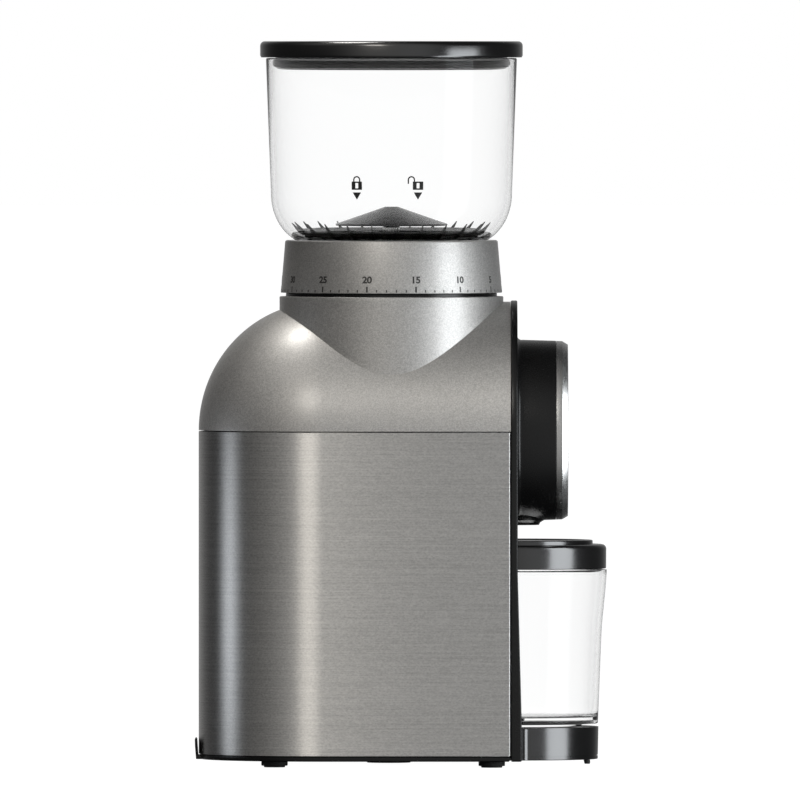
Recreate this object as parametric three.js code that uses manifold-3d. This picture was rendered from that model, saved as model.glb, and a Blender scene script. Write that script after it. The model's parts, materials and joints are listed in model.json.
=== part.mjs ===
// Burr coffee grinder. Millimetres, +Z up, front toward +X.
// The origin is the centre of the footprint box, on the surface that the feet stand on.
// Round sub-parts are turned about one of four upright axes (burr, cup, motor, idler) or the pod's
// axis, which lies along X. Each axis is a nested group, so its parts are written in local terms.

import * as THREE from 'three';
import { mergeVertices } from 'three/addons/utils/BufferGeometryUtils.js';
import Module from 'manifold-3d';

const wasm = await Module();
wasm.setup();

// ---------------------------------------------------------------- driving dimensions
const GAP = 0.3;              // air left between separate pieces
const CLOSE_GAP = 0.15;       // air left between pieces that sit face to face
const PAST = 5;               // how far a cutter runs past what it cuts
const FAR = 200;              // well outside the grinder
const BIG = 28;               // facets round the large turned pieces
const MEDIUM = 20;
const SMALL = 14;
const TINY = 10;

const BURR_X = -4.4;          // upright axis of hopper, ring and burrs
const CUP_X = 54.6;           // upright axis of cup, stand and spout
const MOTOR_X = -50;          // upright axis of the motor

const BASE_BOTTOM = 2.95;
const BASE_TOP = 5.2;
const SEAM_Z = 157.4;         // where the steel wrap meets the painted housing
const DOME_TOP = 218;
const COLLAR_TOP = 220.1;
const RING_BOTTOM = 222.1;
const RING_TOP = 246.8;
const BOWL_RIM = 332.3;
const LID_TOP = 340.2;

const BODY_HALF = 58.6;       // half the body's width, and the radius of its round back
const BACK_X = -36.4;         // centre of the round back
const BODY_FRONT = 51.5;
const PANEL_FACE = 54.6;      // front face of the black panel
const POD_RADIUS = 42.5;

// ---------------------------------------------------------------- solids from geometry
function solid(geometry) {
  const bare = geometry.clone();
  bare.deleteAttribute('normal');
  bare.deleteAttribute('uv');
  const merged = mergeVertices(bare);
  const index = merged.index.array;
  const kept = [];
  for (let i = 0; i < index.length; i += 3) {
    const [a, b, c] = [index[i], index[i + 1], index[i + 2]];
    if (a !== b && b !== c && c !== a) kept.push(a, b, c);
  }
  const mesh = new wasm.Mesh({
    numProp: 3,
    vertProperties: new Float32Array(merged.attributes.position.array),
    triVerts: new Uint32Array(kept),
  });
  return new wasm.Manifold(mesh);
}

function join(first, ...others) {
  return others.reduce((whole, piece) => whole.add(piece), first);
}

function cut(body, ...cutters) {
  return cutters.reduce((whole, cutter) => whole.subtract(cutter), body);
}

function signedArea(profile) {
  let area = 0;
  profile.forEach(([r, z], i) => {
    const [nextR, nextZ] = profile[(i + 1) % profile.length];
    area += r * nextZ - nextR * z;
  });
  return area / 2;
}

// A profile of [radius, height] points, turned about Z. It starts and ends on the axis or is a loop.
function turned(profile, segments = BIG) {
  const points = signedArea(profile) < 0 ? [...profile].reverse() : [...profile];
  const onAxis = points.filter(([r]) => r === 0).length;
  if (onAxis >= 2) {
    while (points[0][0] !== 0 || points[points.length - 1][0] !== 0) points.push(points.shift());
  } else {
    points.push(points[0]);
  }
  const lathe = new THREE.LatheGeometry(points.map(([r, z]) => new THREE.Vector2(r, z)), segments);
  return solid(lathe.rotateX(Math.PI / 2));
}

function disc(radius, bottom, top, segments = BIG) {
  return turned([[0, bottom], [radius, bottom], [radius, top], [0, top]], segments);
}

function tube(inner, outer, bottom, top, segments = BIG) {
  return turned([[inner, bottom], [outer, bottom], [outer, top], [inner, top]], segments);
}

function block(x0, x1, y0, y1, z0, z1) {
  const box = new THREE.BoxGeometry(x1 - x0, y1 - y0, z1 - z0);
  return solid(box.translate((x0 + x1) / 2, (y0 + y1) / 2, (z0 + z1) / 2));
}

function rise(shape, bottom, top, curveSegments = SMALL) {
  const settings = { depth: top - bottom, bevelEnabled: false, curveSegments };
  return solid(new THREE.ExtrudeGeometry(shape, settings).translate(0, 0, bottom));
}

function outline(points) {
  return new THREE.Shape(points.map(([x, y]) => new THREE.Vector2(x, y)));
}

function arc(count, from, to, place) {
  return Array.from({ length: count + 1 }, (_, i) => place(from + ((to - from) * i) / count));
}

// An outline drawn in X and Z, made solid across the width from -half to +half.
function across(points, half) {
  const geometry = new THREE.ExtrudeGeometry(outline(points), { depth: 2 * half, bevelEnabled: false });
  return solid(geometry.rotateX(Math.PI / 2).translate(0, half, 0));
}

const around = (count) => Array.from({ length: count }, (_, i) => (i * 360) / count);

// ---------------------------------------------------------------- materials and the scene graph
const LOOKS = {
  paint: { color: 0x9f9c96, roughness: 0.35, metalness: 0.6 },
  steel: { color: 0x9a9994, roughness: 0.35, metalness: 1 },
  bright: { color: 0xc4c4c4, roughness: 0.25, metalness: 1 },
  black: { color: 0x1b1b1b, roughness: 0.4, metalness: 0 },
  rubber: { color: 0x141414, roughness: 0.8, metalness: 0 },
  clear: { color: 0xf2f4f4, roughness: 0.05, metalness: 0, transparent: true, opacity: 0.3 },
  lens: { color: 0x0a0a0c, roughness: 0.08, metalness: 0 },
  grey: { color: 0x6a6a68, roughness: 0.55, metalness: 0 },
  white: { color: 0xd9d6cc, roughness: 0.5, metalness: 0 },
  board: { color: 0x1f5b34, roughness: 0.6, metalness: 0 },
  copper: { color: 0x9a5a30, roughness: 0.4, metalness: 0.7 },
};

const grinder = new THREE.Group();
const burrAxis = new THREE.Group();
const cupAxis = new THREE.Group();
const motorAxis = new THREE.Group();
const idlerAxis = new THREE.Group();
const podAxis = new THREE.Group();
burrAxis.position.set(BURR_X, 0, 0);
cupAxis.position.set(CUP_X, 0, 0);
motorAxis.position.set(MOTOR_X, 0, 0);
podAxis.position.set(PANEL_FACE, 0, SEAM_Z);
podAxis.rotation.y = Math.PI / 2;
grinder.add(burrAxis, cupAxis, motorAxis, idlerAxis, podAxis);

function piece(group, name, body, look) {
  const { vertProperties, triVerts } = body.getMesh();
  const geometry = new THREE.BufferGeometry();
  geometry.setAttribute('position', new THREE.BufferAttribute(new Float32Array(vertProperties), 3));
  geometry.setIndex(new THREE.BufferAttribute(new Uint32Array(triVerts), 1));
  geometry.computeVertexNormals();
  const mesh = new THREE.Mesh(geometry, new THREE.MeshStandardMaterial(LOOKS[look]));
  mesh.name = name;
  group.add(mesh);
}

// ---------------------------------------------------------------- base
const STAND_RADIUS = 38.3;
const STAND_HOLE = STAND_RADIUS + 0.5;
const FRONT_FOOT = { x: 42.6, y: 47 };
const REAR_FOOT = { x: -59.2, y: 40 };
const FOOT_STEM = 2.5;
const PAD_X = -5.65;
const INLET_X = -76.4;
const INLET_FLANGE = 9;
const INLET_NECK = 6.6;

// The body's plan: straight sides and a round back.
function planOutline(half, front) {
  const shape = new THREE.Shape();
  shape.moveTo(front, -half);
  shape.lineTo(front, half);
  shape.lineTo(BACK_X, half);
  shape.absarc(BACK_X, 0, half, Math.PI / 2, (3 * Math.PI) / 2, false);
  return shape;
}

function standHole(bottom, top) {
  return disc(STAND_HOLE, bottom, top).translate(CUP_X, 0, 0);
}

const footPlaces = {
  foot_front_left: [FRONT_FOOT.x, FRONT_FOOT.y],
  foot_front_right: [FRONT_FOOT.x, -FRONT_FOOT.y],
  foot_rear_left: [REAR_FOOT.x, REAR_FOOT.y],
  foot_rear_right: [REAR_FOOT.x, -REAR_FOOT.y],
};

// The springy hook at the back that holds the steel wrap.
function rearHook() {
  const root = -93.5;
  const back = -96.8;
  const top = 13.1;
  const half = 11;
  return across(
    [[root, BASE_BOTTOM], [root, BASE_TOP], [back + 1.5, BASE_TOP], [back + 1, top - 0.5], [back + 0.6, top],
      [back, top - 0.7], [back + 0.1, top - 4.1], [back + 0.6, BASE_BOTTOM]],
    half,
  );
}

function basePlate() {
  const lipTop = 9;
  const lipOutside = 1.6;
  const lipWall = 1.6;
  const counterboreTop = 4.4;
  const plan = (inset) => planOutline(BODY_HALF - GAP - inset, BODY_FRONT - GAP - inset);
  const plate = rise(plan(0), BASE_BOTTOM, BASE_TOP);
  const lip = cut(
    rise(plan(lipOutside), BASE_BOTTOM, lipTop),
    rise(plan(lipOutside + lipWall), 0, lipTop + PAST),
  );
  const stemHoles = Object.values(footPlaces).map(([x, y]) => (
    disc(FOOT_STEM + GAP, 0, lipTop + PAST, TINY).translate(x, y, 0)));
  const inletHoles = [
    disc(INLET_NECK + GAP, 0, lipTop + PAST, SMALL),
    disc(INLET_FLANGE + GAP, 0, counterboreTop, SMALL),
  ].map((hole) => hole.translate(INLET_X, 0, 0));
  return cut(join(plate, lip, rearHook()), standHole(0, lipTop + PAST), ...stemHoles, ...inletHoles);
}

// A rubber foot: a soft disc with a narrower sole, and a stem that presses into the base plate.
function foot() {
  const radius = 6.2;
  const sole = 4.9;
  const soleTop = 0.7;
  const shoulder = BASE_BOTTOM - CLOSE_GAP;
  const stemTop = 7;
  return turned(
    [[0, 0], [sole, 0], [sole, soleTop], [radius, soleTop], [radius, shoulder], [FOOT_STEM, shoulder],
      [FOOT_STEM, stemTop], [0, stemTop]],
    TINY,
  );
}

function cordInlet() {
  const bore = 3.6;
  const bottom = 2.7;
  const flangeTop = 4.2;
  const top = 14;
  return turned(
    [[bore, bottom], [INLET_FLANGE, bottom], [INLET_FLANGE, flangeTop], [INLET_NECK, flangeTop],
      [INLET_NECK, top - 3], [INLET_NECK - 1.6, top], [bore, top]],
    SMALL,
  );
}

function centrePad() {
  const radius = 10.35;
  const bottom = 1.2;
  return disc(radius, bottom, BASE_BOTTOM - CLOSE_GAP, SMALL);
}

piece(grinder, 'base_plate', basePlate(), 'black');
for (const [name, [x, y]] of Object.entries(footPlaces)) {
  piece(grinder, name, foot().translate(x, y, 0), 'rubber');
}
piece(grinder, 'centre_pad', centrePad().translate(PAD_X, 0, 0), 'rubber');
piece(grinder, 'cord_inlet', cordInlet().translate(INLET_X, 0, 0), 'rubber');

// ---------------------------------------------------------------- cup stand
const STAND_BOTTOM = 3;
const STAND_TOP = 18.2;
const STAND_FOOT = { x: 32.9, y: 16.3, radius: 1.4, bottom: 1 };

function cupStand() {
  const edge = 0.8;
  return turned([
    [0, STAND_BOTTOM], [STAND_RADIUS - GAP, STAND_BOTTOM], [STAND_RADIUS, STAND_TOP - edge],
    [STAND_RADIUS - edge, STAND_TOP], [0, STAND_TOP],
  ]);
}

piece(cupAxis, 'cup_stand', cupStand(), 'black');
for (const [name, side] of [['stand_foot_left', 1], ['stand_foot_right', -1]]) {
  const nub = disc(STAND_FOOT.radius, STAND_FOOT.bottom, STAND_BOTTOM - CLOSE_GAP, TINY);
  piece(cupAxis, name, nub.translate(STAND_FOOT.x, side * STAND_FOOT.y, 0), 'rubber');
}

// ---------------------------------------------------------------- steel wrap
function steelWrap() {
  const sheet = 0.8;
  const bottom = BASE_TOP + GAP;
  const top = SEAM_Z - CLOSE_GAP;
  return cut(
    rise(planOutline(BODY_HALF, BODY_FRONT), bottom, top),
    rise(planOutline(BODY_HALF - sheet, BODY_FRONT + PAST), 0, top + PAST),
  );
}

piece(grinder, 'steel_wrap', steelWrap(), 'steel');

// ---------------------------------------------------------------- upper housing
const COLLAR_RADIUS = 52.6;
const COLLAR_BORE = 50.2;
const NECK_BORE = 47;

// The dome's outside, or its inside when inset: a half capsule lying along X, round at the back.
function bullet(inset, front) {
  const radius = BODY_HALF - inset;
  const height = DOME_TOP - SEAM_Z - inset;
  const back = arc(5, 0, Math.PI / 2, (t) => [radius * Math.sin(t), -radius * Math.cos(t)]);
  const round = turned([...back, [radius, front - BACK_X], [0, front - BACK_X]]);
  const lying = round.rotate([0, 90, 0]);
  return lying.scale([1, 1, height / radius]).translate(BACK_X, 0, SEAM_Z);
}

function upperHousing() {
  const wall = 2.5;
  const deck = 2.5;
  const neckRadius = 49.6;
  const neckTop = RING_BOTTOM - CLOSE_GAP;
  const collarBottom = 181;
  const chuteTop = 200;
  const chuteHalf = 13;
  const toBurrAxis = (body) => body.translate(BURR_X, 0, 0);
  const outside = bullet(0, BODY_FRONT);
  const inside = bullet(wall, BODY_FRONT + PAST);
  const collarInside = toBurrAxis(disc(COLLAR_BORE, SEAM_Z - PAST, COLLAR_TOP - deck));
  const collar = toBurrAxis(disc(COLLAR_RADIUS, collarBottom + PAST, COLLAR_TOP));
  const shell = cut(join(outside, collar), inside, collarInside);
  const skirt = cut(
    toBurrAxis(tube(COLLAR_BORE, COLLAR_RADIUS, collarBottom, COLLAR_TOP)),
    block(BURR_X, BODY_FRONT, -chuteHalf, chuteHalf, 0, chuteTop),
  );
  const neck = toBurrAxis(disc(neckRadius, COLLAR_TOP - deck, neckTop));
  const whole = join(shell, skirt, neck);
  const below = block(-FAR, FAR, -FAR, FAR, 0, SEAM_Z + CLOSE_GAP);
  return cut(whole, below, toBurrAxis(disc(NECK_BORE, COLLAR_TOP - 2 * deck, neckTop + PAST)));
}

piece(grinder, 'upper_housing', upperHousing(), 'paint');

// ---------------------------------------------------------------- front panel and cup bay
const PANEL_BACK = BODY_FRONT + CLOSE_GAP;
const BAY_RADIUS = 44.5;
const BAY_CEILING = 117;
const BAY_FLOOR = STAND_TOP + 0.1;
const SPOUT_HOLE = 13.4;
const SPOUT_BOTTOM = 112.9;
const SPOUT_TOP = 123.5;

function frontPanel() {
  const proud = 0.4;
  const half = BODY_HALF + proud;
  const rising = DOME_TOP + proud - SEAM_Z;
  const arch = arc(20, 0, Math.PI, (t) => [half * Math.cos(t), SEAM_Z + rising * Math.sin(t)]);
  const shape = outline([[-half, BASE_BOTTOM], [half, BASE_BOTTOM], ...arch]);
  const settings = { depth: PANEL_FACE - PANEL_BACK, bevelEnabled: false };
  const geometry = new THREE.ExtrudeGeometry(shape, settings);
  const upright = new THREE.Matrix4().makeBasis(
    new THREE.Vector3(0, 1, 0), new THREE.Vector3(0, 0, 1), new THREE.Vector3(1, 0, 0));
  const plate = solid(geometry.applyMatrix4(upright).translate(PANEL_BACK, 0, 0));
  const flareTop = 92.4;
  const flareBottom = 22;
  const flareFace = PANEL_FACE + 2;
  const flare = across(
    [[PANEL_BACK, BASE_BOTTOM], [flareFace, BASE_BOTTOM], [flareFace, flareBottom], [PANEL_FACE, flareTop],
      [PANEL_BACK, flareTop]],
    half,
  );
  const bay = disc(BAY_RADIUS, BAY_FLOOR, BAY_CEILING).translate(CUP_X, 0, 0);
  const chuteHalf = 11.5;
  const chuteTop = 200;
  const chuteHole = block(
    PANEL_BACK - PAST, PANEL_FACE + PAST, -chuteHalf, chuteHalf, BAY_CEILING - 1, chuteTop);
  const spoutHole = disc(SPOUT_HOLE, BAY_CEILING - 1, SPOUT_TOP + 1, MEDIUM).translate(CUP_X, 0, 0);
  return cut(join(plate, flare), bay, standHole(0, BAY_FLOOR + 1), chuteHole, spoutHole);
}

// The half-round wall behind the cup, with its ceiling and a floor round the stand.
function cupBay() {
  const wall = 1.8;
  const inner = BAY_RADIUS + 0.1;
  const outer = inner + wall;
  const profile = [
    [STAND_HOLE, BAY_FLOOR - wall], [outer, BAY_FLOOR - wall], [outer, BAY_CEILING + wall],
    [SPOUT_HOLE, BAY_CEILING + wall], [SPOUT_HOLE, BAY_CEILING], [inner, BAY_CEILING], [inner, BAY_FLOOR],
    [STAND_HOLE, BAY_FLOOR],
  ];
  const front = PANEL_BACK - GAP - CUP_X;
  return cut(turned(profile), block(front, FAR, -FAR, FAR, 0, SEAM_Z));
}

piece(grinder, 'front_panel', frontPanel(), 'black');
piece(cupAxis, 'cup_bay', cupBay(), 'black');

// ---------------------------------------------------------------- spout and grounds chute
const SPOUT_BORE = 8.2;
const CHUTE_Z = 188;          // height of the chute's mouth at the burr chamber
const CHAMBER_RADIUS = 39.6;

function spout() {
  const nozzle = 10.5;
  const outer = 12.8;
  return turned(
    [[SPOUT_BORE, SPOUT_BOTTOM], [nozzle, SPOUT_BOTTOM], [nozzle + 0.2, SPOUT_BOTTOM + 0.9],
      [outer - 0.2, SPOUT_BOTTOM + 2.5], [outer, SPOUT_BOTTOM + 4.1], [outer, SPOUT_TOP],
      [SPOUT_BORE, SPOUT_TOP]],
    MEDIUM,
  );
}

// A round tube that leaves the chamber level and turns down over the cup.
function groundsChute() {
  const outer = 9.5;
  const bore = 8;
  const bend = 14;
  const sides = 10;
  const steps = 9;
  const start = BURR_X + CHAMBER_RADIUS + GAP;
  const centreX = CUP_X - bend;
  const points = [
    new THREE.Vector3(start, 0, CHUTE_Z),
    ...arc(4, 0, Math.PI / 2, (t) => (
      new THREE.Vector3(centreX + bend * Math.sin(t), 0, CHUTE_Z - bend + bend * Math.cos(t)))),
    new THREE.Vector3(CUP_X, 0, (CHUTE_Z + SPOUT_TOP) / 2),
    new THREE.Vector3(CUP_X, 0, SPOUT_TOP + GAP),
  ].filter((point, i) => i === 0 || point.x > start + 1);
  const circle = (radius) => arc(sides - 1, 0, (2 * Math.PI * (sides - 1)) / sides, (t) => (
    new THREE.Vector2(radius * Math.cos(t), radius * Math.sin(t))));
  const section = new THREE.Shape(circle(outer));
  section.holes.push(new THREE.Path(circle(bore)));
  const path = new THREE.CatmullRomCurve3(points);
  return solid(new THREE.ExtrudeGeometry(section, { steps, extrudePath: path, bevelEnabled: false }));
}

piece(cupAxis, 'spout', spout(), 'black');
piece(grinder, 'grounds_chute', groundsChute(), 'black');

// ---------------------------------------------------------------- control pod
// In the pod's group Z points forward from the panel, and X points down.
const POD_DEPTH = 18.1;       // from the panel to the ring
const FACE_DEPTH = 21.2;      // from the panel to the front of the plate behind the lens
const LENS_DEPTH = 22.9;
const RING_DEPTH = 23.9;      // from the panel to the ring's front
const FACE_TUBE = 29.8;
const FACE_TUBE_BORE = 27.4;
const RING_BORE = 33.9;
const BUTTON_DOWN = 16;       // how far below the pod's centre the start button sits
const BUTTON_RADIUS = 8.8;
const BUTTON_HOLE = BUTTON_RADIUS + 0.4;
const STEM_END = 14.2;
const BOARD_BACK = 10.2;

function podHousing() {
  const wall = 2.2;
  const mouth = FACE_TUBE + 0.4;
  const shell = turned([
    [POD_RADIUS - wall, CLOSE_GAP], [POD_RADIUS, CLOSE_GAP], [POD_RADIUS, POD_DEPTH],
    [mouth, POD_DEPTH], [mouth, POD_DEPTH - wall], [POD_RADIUS - wall, POD_DEPTH - wall],
  ]);
  const notch = disc(SPOUT_HOLE, -PAST, POD_DEPTH + PAST, MEDIUM);
  return cut(shell, notch.rotate([0, -90, 0]).translate(POD_RADIUS + PAST, 0, 0));
}

function selectorRing() {
  const outer = 42;
  const back = POD_DEPTH + GAP;
  const chamfer = 2.7;
  const innerChamfer = 1.3;
  return turned([
    [RING_BORE, back], [outer, back], [outer, RING_DEPTH - chamfer], [outer - 1.65, RING_DEPTH],
    [RING_BORE + innerChamfer, RING_DEPTH], [RING_BORE, RING_DEPTH - innerChamfer],
  ]);
}

function buttonHole() {
  return disc(BUTTON_HOLE, 0, RING_DEPTH + PAST, SMALL).translate(BUTTON_DOWN, 0, 0);
}

function podFace() {
  const radius = RING_BORE - 0.5;
  const back = POD_DEPTH + 0.4;
  const tubeBack = BOARD_BACK + 1.9;
  return cut(
    turned([
      [0, back], [FACE_TUBE_BORE, back], [FACE_TUBE_BORE, tubeBack], [FACE_TUBE, tubeBack], [FACE_TUBE, back],
      [radius, back], [radius, FACE_DEPTH], [0, FACE_DEPTH],
    ]),
    buttonHole(),
  );
}

function displayLens() {
  return cut(disc(RING_BORE - 0.6, FACE_DEPTH + CLOSE_GAP, LENS_DEPTH), buttonHole());
}

function startButton() {
  const flange = 10;
  const flangeBack = 16.4;
  const flangeFront = 18.1;
  const stem = 3;
  const front = LENS_DEPTH + 0.6;
  const edge = 0.6;
  return turned(
    [[0, STEM_END], [stem, STEM_END], [stem, flangeBack], [flange, flangeBack], [flange, flangeFront],
      [BUTTON_RADIUS, flangeFront], [BUTTON_RADIUS, front - 0.5], [BUTTON_RADIUS - edge, front], [0, front]],
    SMALL,
  ).translate(BUTTON_DOWN, 0, 0);
}

// The display's board, with the display module and the push switch soldered on its front.
function displayBoard() {
  const thickness = 1.6;
  const radius = 26.5;
  const front = BOARD_BACK + thickness;
  const sunk = 0.5;
  const screen = { top: -20, bottom: 3, half: 15, depth: 3.4 };
  const plunger = 3;
  return join(
    disc(radius, BOARD_BACK, front, MEDIUM),
    block(screen.top, screen.bottom, -screen.half, screen.half, front - sunk, front + screen.depth),
    disc(plunger, front - sunk, STEM_END - 1.4, TINY).translate(BUTTON_DOWN, 0, 0),
  );
}

piece(podAxis, 'pod_housing', podHousing(), 'black');
piece(podAxis, 'selector_ring', selectorRing(), 'bright');
piece(podAxis, 'pod_face', podFace(), 'black');
piece(podAxis, 'display_lens', displayLens(), 'lens');
piece(podAxis, 'start_button', startButton(), 'grey');
piece(podAxis, 'display_board', displayBoard(), 'board');

// ---------------------------------------------------------------- gear train
const MODULE = 1.25;
const PRESSURE_ANGLE = (20 * Math.PI) / 180;
const BACKLASH = 0.13;        // taken off each flank
const TEETH = { pinion: 10, idlerWheel: 34, idlerPinion: 11, drive: 37 };
const LOW_LEVEL = [126, 132];
const HIGH_LEVEL = [133.8, 141];
const SHAFT_RADIUS = 4;
const MOTOR_SHAFT_RADIUS = 2.5;
const RUNNING = 0.2;          // radial clearance of a bore on its shaft

// The idler sits where both pairs mesh: a triangle on the motor and burr axes.
const firstReach = (MODULE * (TEETH.pinion + TEETH.idlerWheel)) / 2;
const secondReach = (MODULE * (TEETH.idlerPinion + TEETH.drive)) / 2;
const span = BURR_X - MOTOR_X;
const idlerAlong = (span ** 2 + firstReach ** 2 - secondReach ** 2) / (2 * span);
const idlerAside = Math.sqrt(firstReach ** 2 - idlerAlong ** 2);
idlerAxis.position.set(MOTOR_X + idlerAlong, idlerAside, 0);
const toIdler = Math.atan2(idlerAside, idlerAlong);
const toDrive = Math.atan2(-idlerAside, span - idlerAlong);

// A spur gear whose first tooth points along angle phase.
function gear(teeth, phase, [bottom, top], bore) {
  const pitch = (MODULE * teeth) / 2;
  const base = pitch * Math.cos(PRESSURE_ANGLE);
  const tip = pitch + 0.65 * MODULE;
  const root = pitch - MODULE;
  const involute = (angle) => Math.tan(angle) - angle;
  const halfAngle = (radius) => {
    const angle = Math.acos(Math.min(1, base / radius));
    return Math.PI / (2 * teeth) - BACKLASH / pitch + involute(PRESSURE_ANGLE) - involute(angle);
  };
  const radii = [root, tip];
  const points = [];
  for (let tooth = 0; tooth < teeth; tooth += 1) {
    const centre = phase + (2 * Math.PI * tooth) / teeth;
    const rising = radii.map((radius) => [radius, centre - halfAngle(radius)]);
    const falling = [...radii].reverse().map((radius) => [radius, centre + halfAngle(radius)]);
    points.push(...[...rising, ...falling].map(([radius, angle]) => (
      [radius * Math.cos(angle), radius * Math.sin(angle)])));
  }
  return cut(rise(outline(points), bottom, top), disc(bore, bottom - PAST, top + PAST, SMALL));
}

const gapTurn = (teeth) => Math.PI / teeth;
const idlerBore = MOTOR_SHAFT_RADIUS + RUNNING;

function idlerGear() {
  const wheel = gear(TEETH.idlerWheel, toIdler + Math.PI + gapTurn(TEETH.idlerWheel), LOW_LEVEL, idlerBore);
  const pinion = gear(TEETH.idlerPinion, toDrive, HIGH_LEVEL, idlerBore);
  const hubRadius = 5;
  const sunk = 0.5;
  const hub = tube(idlerBore, hubRadius, LOW_LEVEL[1] - sunk, HIGH_LEVEL[0] + sunk, SMALL);
  return join(wheel, pinion, hub);
}

function driveGear() {
  return gear(TEETH.drive, toDrive + Math.PI + gapTurn(TEETH.drive), HIGH_LEVEL, SHAFT_RADIUS + RUNNING);
}

piece(motorAxis, 'motor_pinion', gear(TEETH.pinion, toIdler, LOW_LEVEL, idlerBore), 'bright');
piece(idlerAxis, 'idler_gear', idlerGear(), 'white');
piece(burrAxis, 'drive_gear', driveGear(), 'white');

// ---------------------------------------------------------------- gearbox
const GEARBOX_FLOOR = 119.3;
const GEARBOX_RIM = 143.8;
const GEARBOX_WALL = 2;
const COVER_BOTTOM = GEARBOX_RIM + GAP;
const COVER_TOP = 147;
const BEARING_RADIUS = 8;
const BEARING_SEAT = BEARING_RADIUS + 0.2;

// The outline that wraps round circles, each [x, y, radius], grown by extra.
function wrapped(circles, extra) {
  const samples = circles.flatMap(([x, y, r]) => around(20).map((degrees) => {
    const t = (degrees * Math.PI) / 180;
    return [x + (r + extra) * Math.cos(t), y + (r + extra) * Math.sin(t)];
  }));
  samples.sort((a, b) => a[0] - b[0] || a[1] - b[1]);
  const turn = (o, a, b) => (a[0] - o[0]) * (b[1] - o[1]) - (a[1] - o[1]) * (b[0] - o[0]);
  const chain = (points) => points.reduce((hull, point) => {
    while (hull.length > 1 && turn(hull[hull.length - 2], hull[hull.length - 1], point) <= 0) hull.pop();
    hull.push(point);
    return hull;
  }, []);
  const lower = chain(samples);
  const upper = chain([...samples].reverse());
  return outline([...lower.slice(0, -1), ...upper.slice(0, -1)]);
}

const gearCircles = [
  [MOTOR_X, 0, 10],
  [idlerAxis.position.x, idlerAxis.position.y, 23.5],
  [BURR_X, 0, 25.5],
];

function gearboxHousing() {
  const floorTop = GEARBOX_FLOOR + 3;
  const seatTop = floorTop + 3;
  const motorHole = 4;
  const bearingFloor = GEARBOX_FLOOR + 0.6;
  return cut(
    join(
      cut(
        rise(wrapped(gearCircles, GEARBOX_WALL), GEARBOX_FLOOR, GEARBOX_RIM),
        rise(wrapped(gearCircles, 0), floorTop, GEARBOX_RIM + PAST),
      ),
      disc(BEARING_SEAT + GEARBOX_WALL, GEARBOX_FLOOR, seatTop, SMALL).translate(BURR_X, 0, 0),
    ),
    disc(BEARING_SEAT, bearingFloor, seatTop + PAST, SMALL).translate(BURR_X, 0, 0),
    disc(motorHole, 0, GEARBOX_RIM, SMALL).translate(MOTOR_X, 0, 0),
  );
}

function gearboxCover() {
  return cut(
    rise(wrapped(gearCircles, GEARBOX_WALL), COVER_BOTTOM, COVER_TOP),
    disc(SHAFT_RADIUS + 1, 0, COVER_TOP + PAST, SMALL).translate(BURR_X, 0, 0),
  );
}

function bearing(bottom) {
  const height = 5;
  return tube(SHAFT_RADIUS + RUNNING, BEARING_RADIUS, bottom, bottom + height, SMALL);
}

const UPPER_BEARING = 170;
const LOWER_BEARING = GEARBOX_FLOOR + 0.8;
const AXLE_BOTTOM = GEARBOX_FLOOR + 3.2;

piece(grinder, 'gearbox_housing', gearboxHousing(), 'grey');
piece(grinder, 'gearbox_cover', gearboxCover(), 'grey');
piece(idlerAxis, 'idler_axle', disc(MOTOR_SHAFT_RADIUS, AXLE_BOTTOM, GEARBOX_RIM, SMALL), 'steel');
piece(burrAxis, 'lower_bearing', bearing(LOWER_BEARING), 'bright');
piece(burrAxis, 'upper_bearing', bearing(UPPER_BEARING), 'bright');

// ---------------------------------------------------------------- motor
const CAN_RADIUS = 30;
const CAN_BOTTOM = 24;
const CAN_TOP = 113;

function motorCan() {
  const wall = 1.6;
  const mouth = 9;
  return turned([
    [CAN_RADIUS - wall, CAN_BOTTOM], [CAN_RADIUS, CAN_BOTTOM], [CAN_RADIUS, CAN_TOP], [mouth, CAN_TOP],
    [mouth, CAN_TOP - wall], [CAN_RADIUS - wall, CAN_TOP - wall],
  ], MEDIUM);
}

function motorEndBell() {
  const bore = MOTOR_SHAFT_RADIUS + 0.4;
  const boss = 12;
  const rim = CAN_RADIUS - 3;
  const bottom = 14;
  const top = CAN_BOTTOM - 0.2;
  return turned([
    [bore, bottom], [boss, bottom], [boss, bottom + 3], [CAN_RADIUS, bottom + 5], [CAN_RADIUS, top],
    [rim, top], [rim, top - 2.3], [bore, bottom + 6],
  ], MEDIUM);
}

// Iron core with winding heads above and below it, and the commutator at the bottom.
function motorArmature() {
  const bore = idlerBore;
  const core = 23;
  const winding = 18;
  const commutator = 8;
  const bottom = CAN_BOTTOM + 2;
  const [coreBottom, coreTop] = [39, 91];
  return turned([
    [bore, bottom], [commutator, bottom], [commutator, bottom + 7], [winding, bottom + 9],
    [winding, coreBottom], [core, coreBottom], [core, coreTop], [winding, coreTop], [winding, coreTop + 6],
    [bore, coreTop + 8],
  ], MEDIUM);
}

function magnetRing() {
  const inner = 24.2;
  const [bottom, top] = [36, 94];
  return tube(inner, CAN_RADIUS - 1.9, bottom, top, MEDIUM);
}

function motorShaft() {
  const bottom = 15;
  return disc(MOTOR_SHAFT_RADIUS, bottom, LOW_LEVEL[1] + 0.5, SMALL);
}

// The rubber ring between the motor and the gearbox.
function motorDamper() {
  const [inner, outer] = [10, 24];
  const play = 0.2;
  return tube(inner, outer, CAN_TOP + play, GEARBOX_FLOOR - play, MEDIUM);
}

piece(motorAxis, 'motor_can', motorCan(), 'steel');
piece(motorAxis, 'motor_end_bell', motorEndBell(), 'black');
piece(motorAxis, 'motor_magnet_ring', magnetRing(), 'grey');
piece(motorAxis, 'motor_armature', motorArmature(), 'copper');
piece(motorAxis, 'motor_shaft', motorShaft(), 'bright');
piece(motorAxis, 'motor_damper', motorDamper(), 'rubber');

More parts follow.
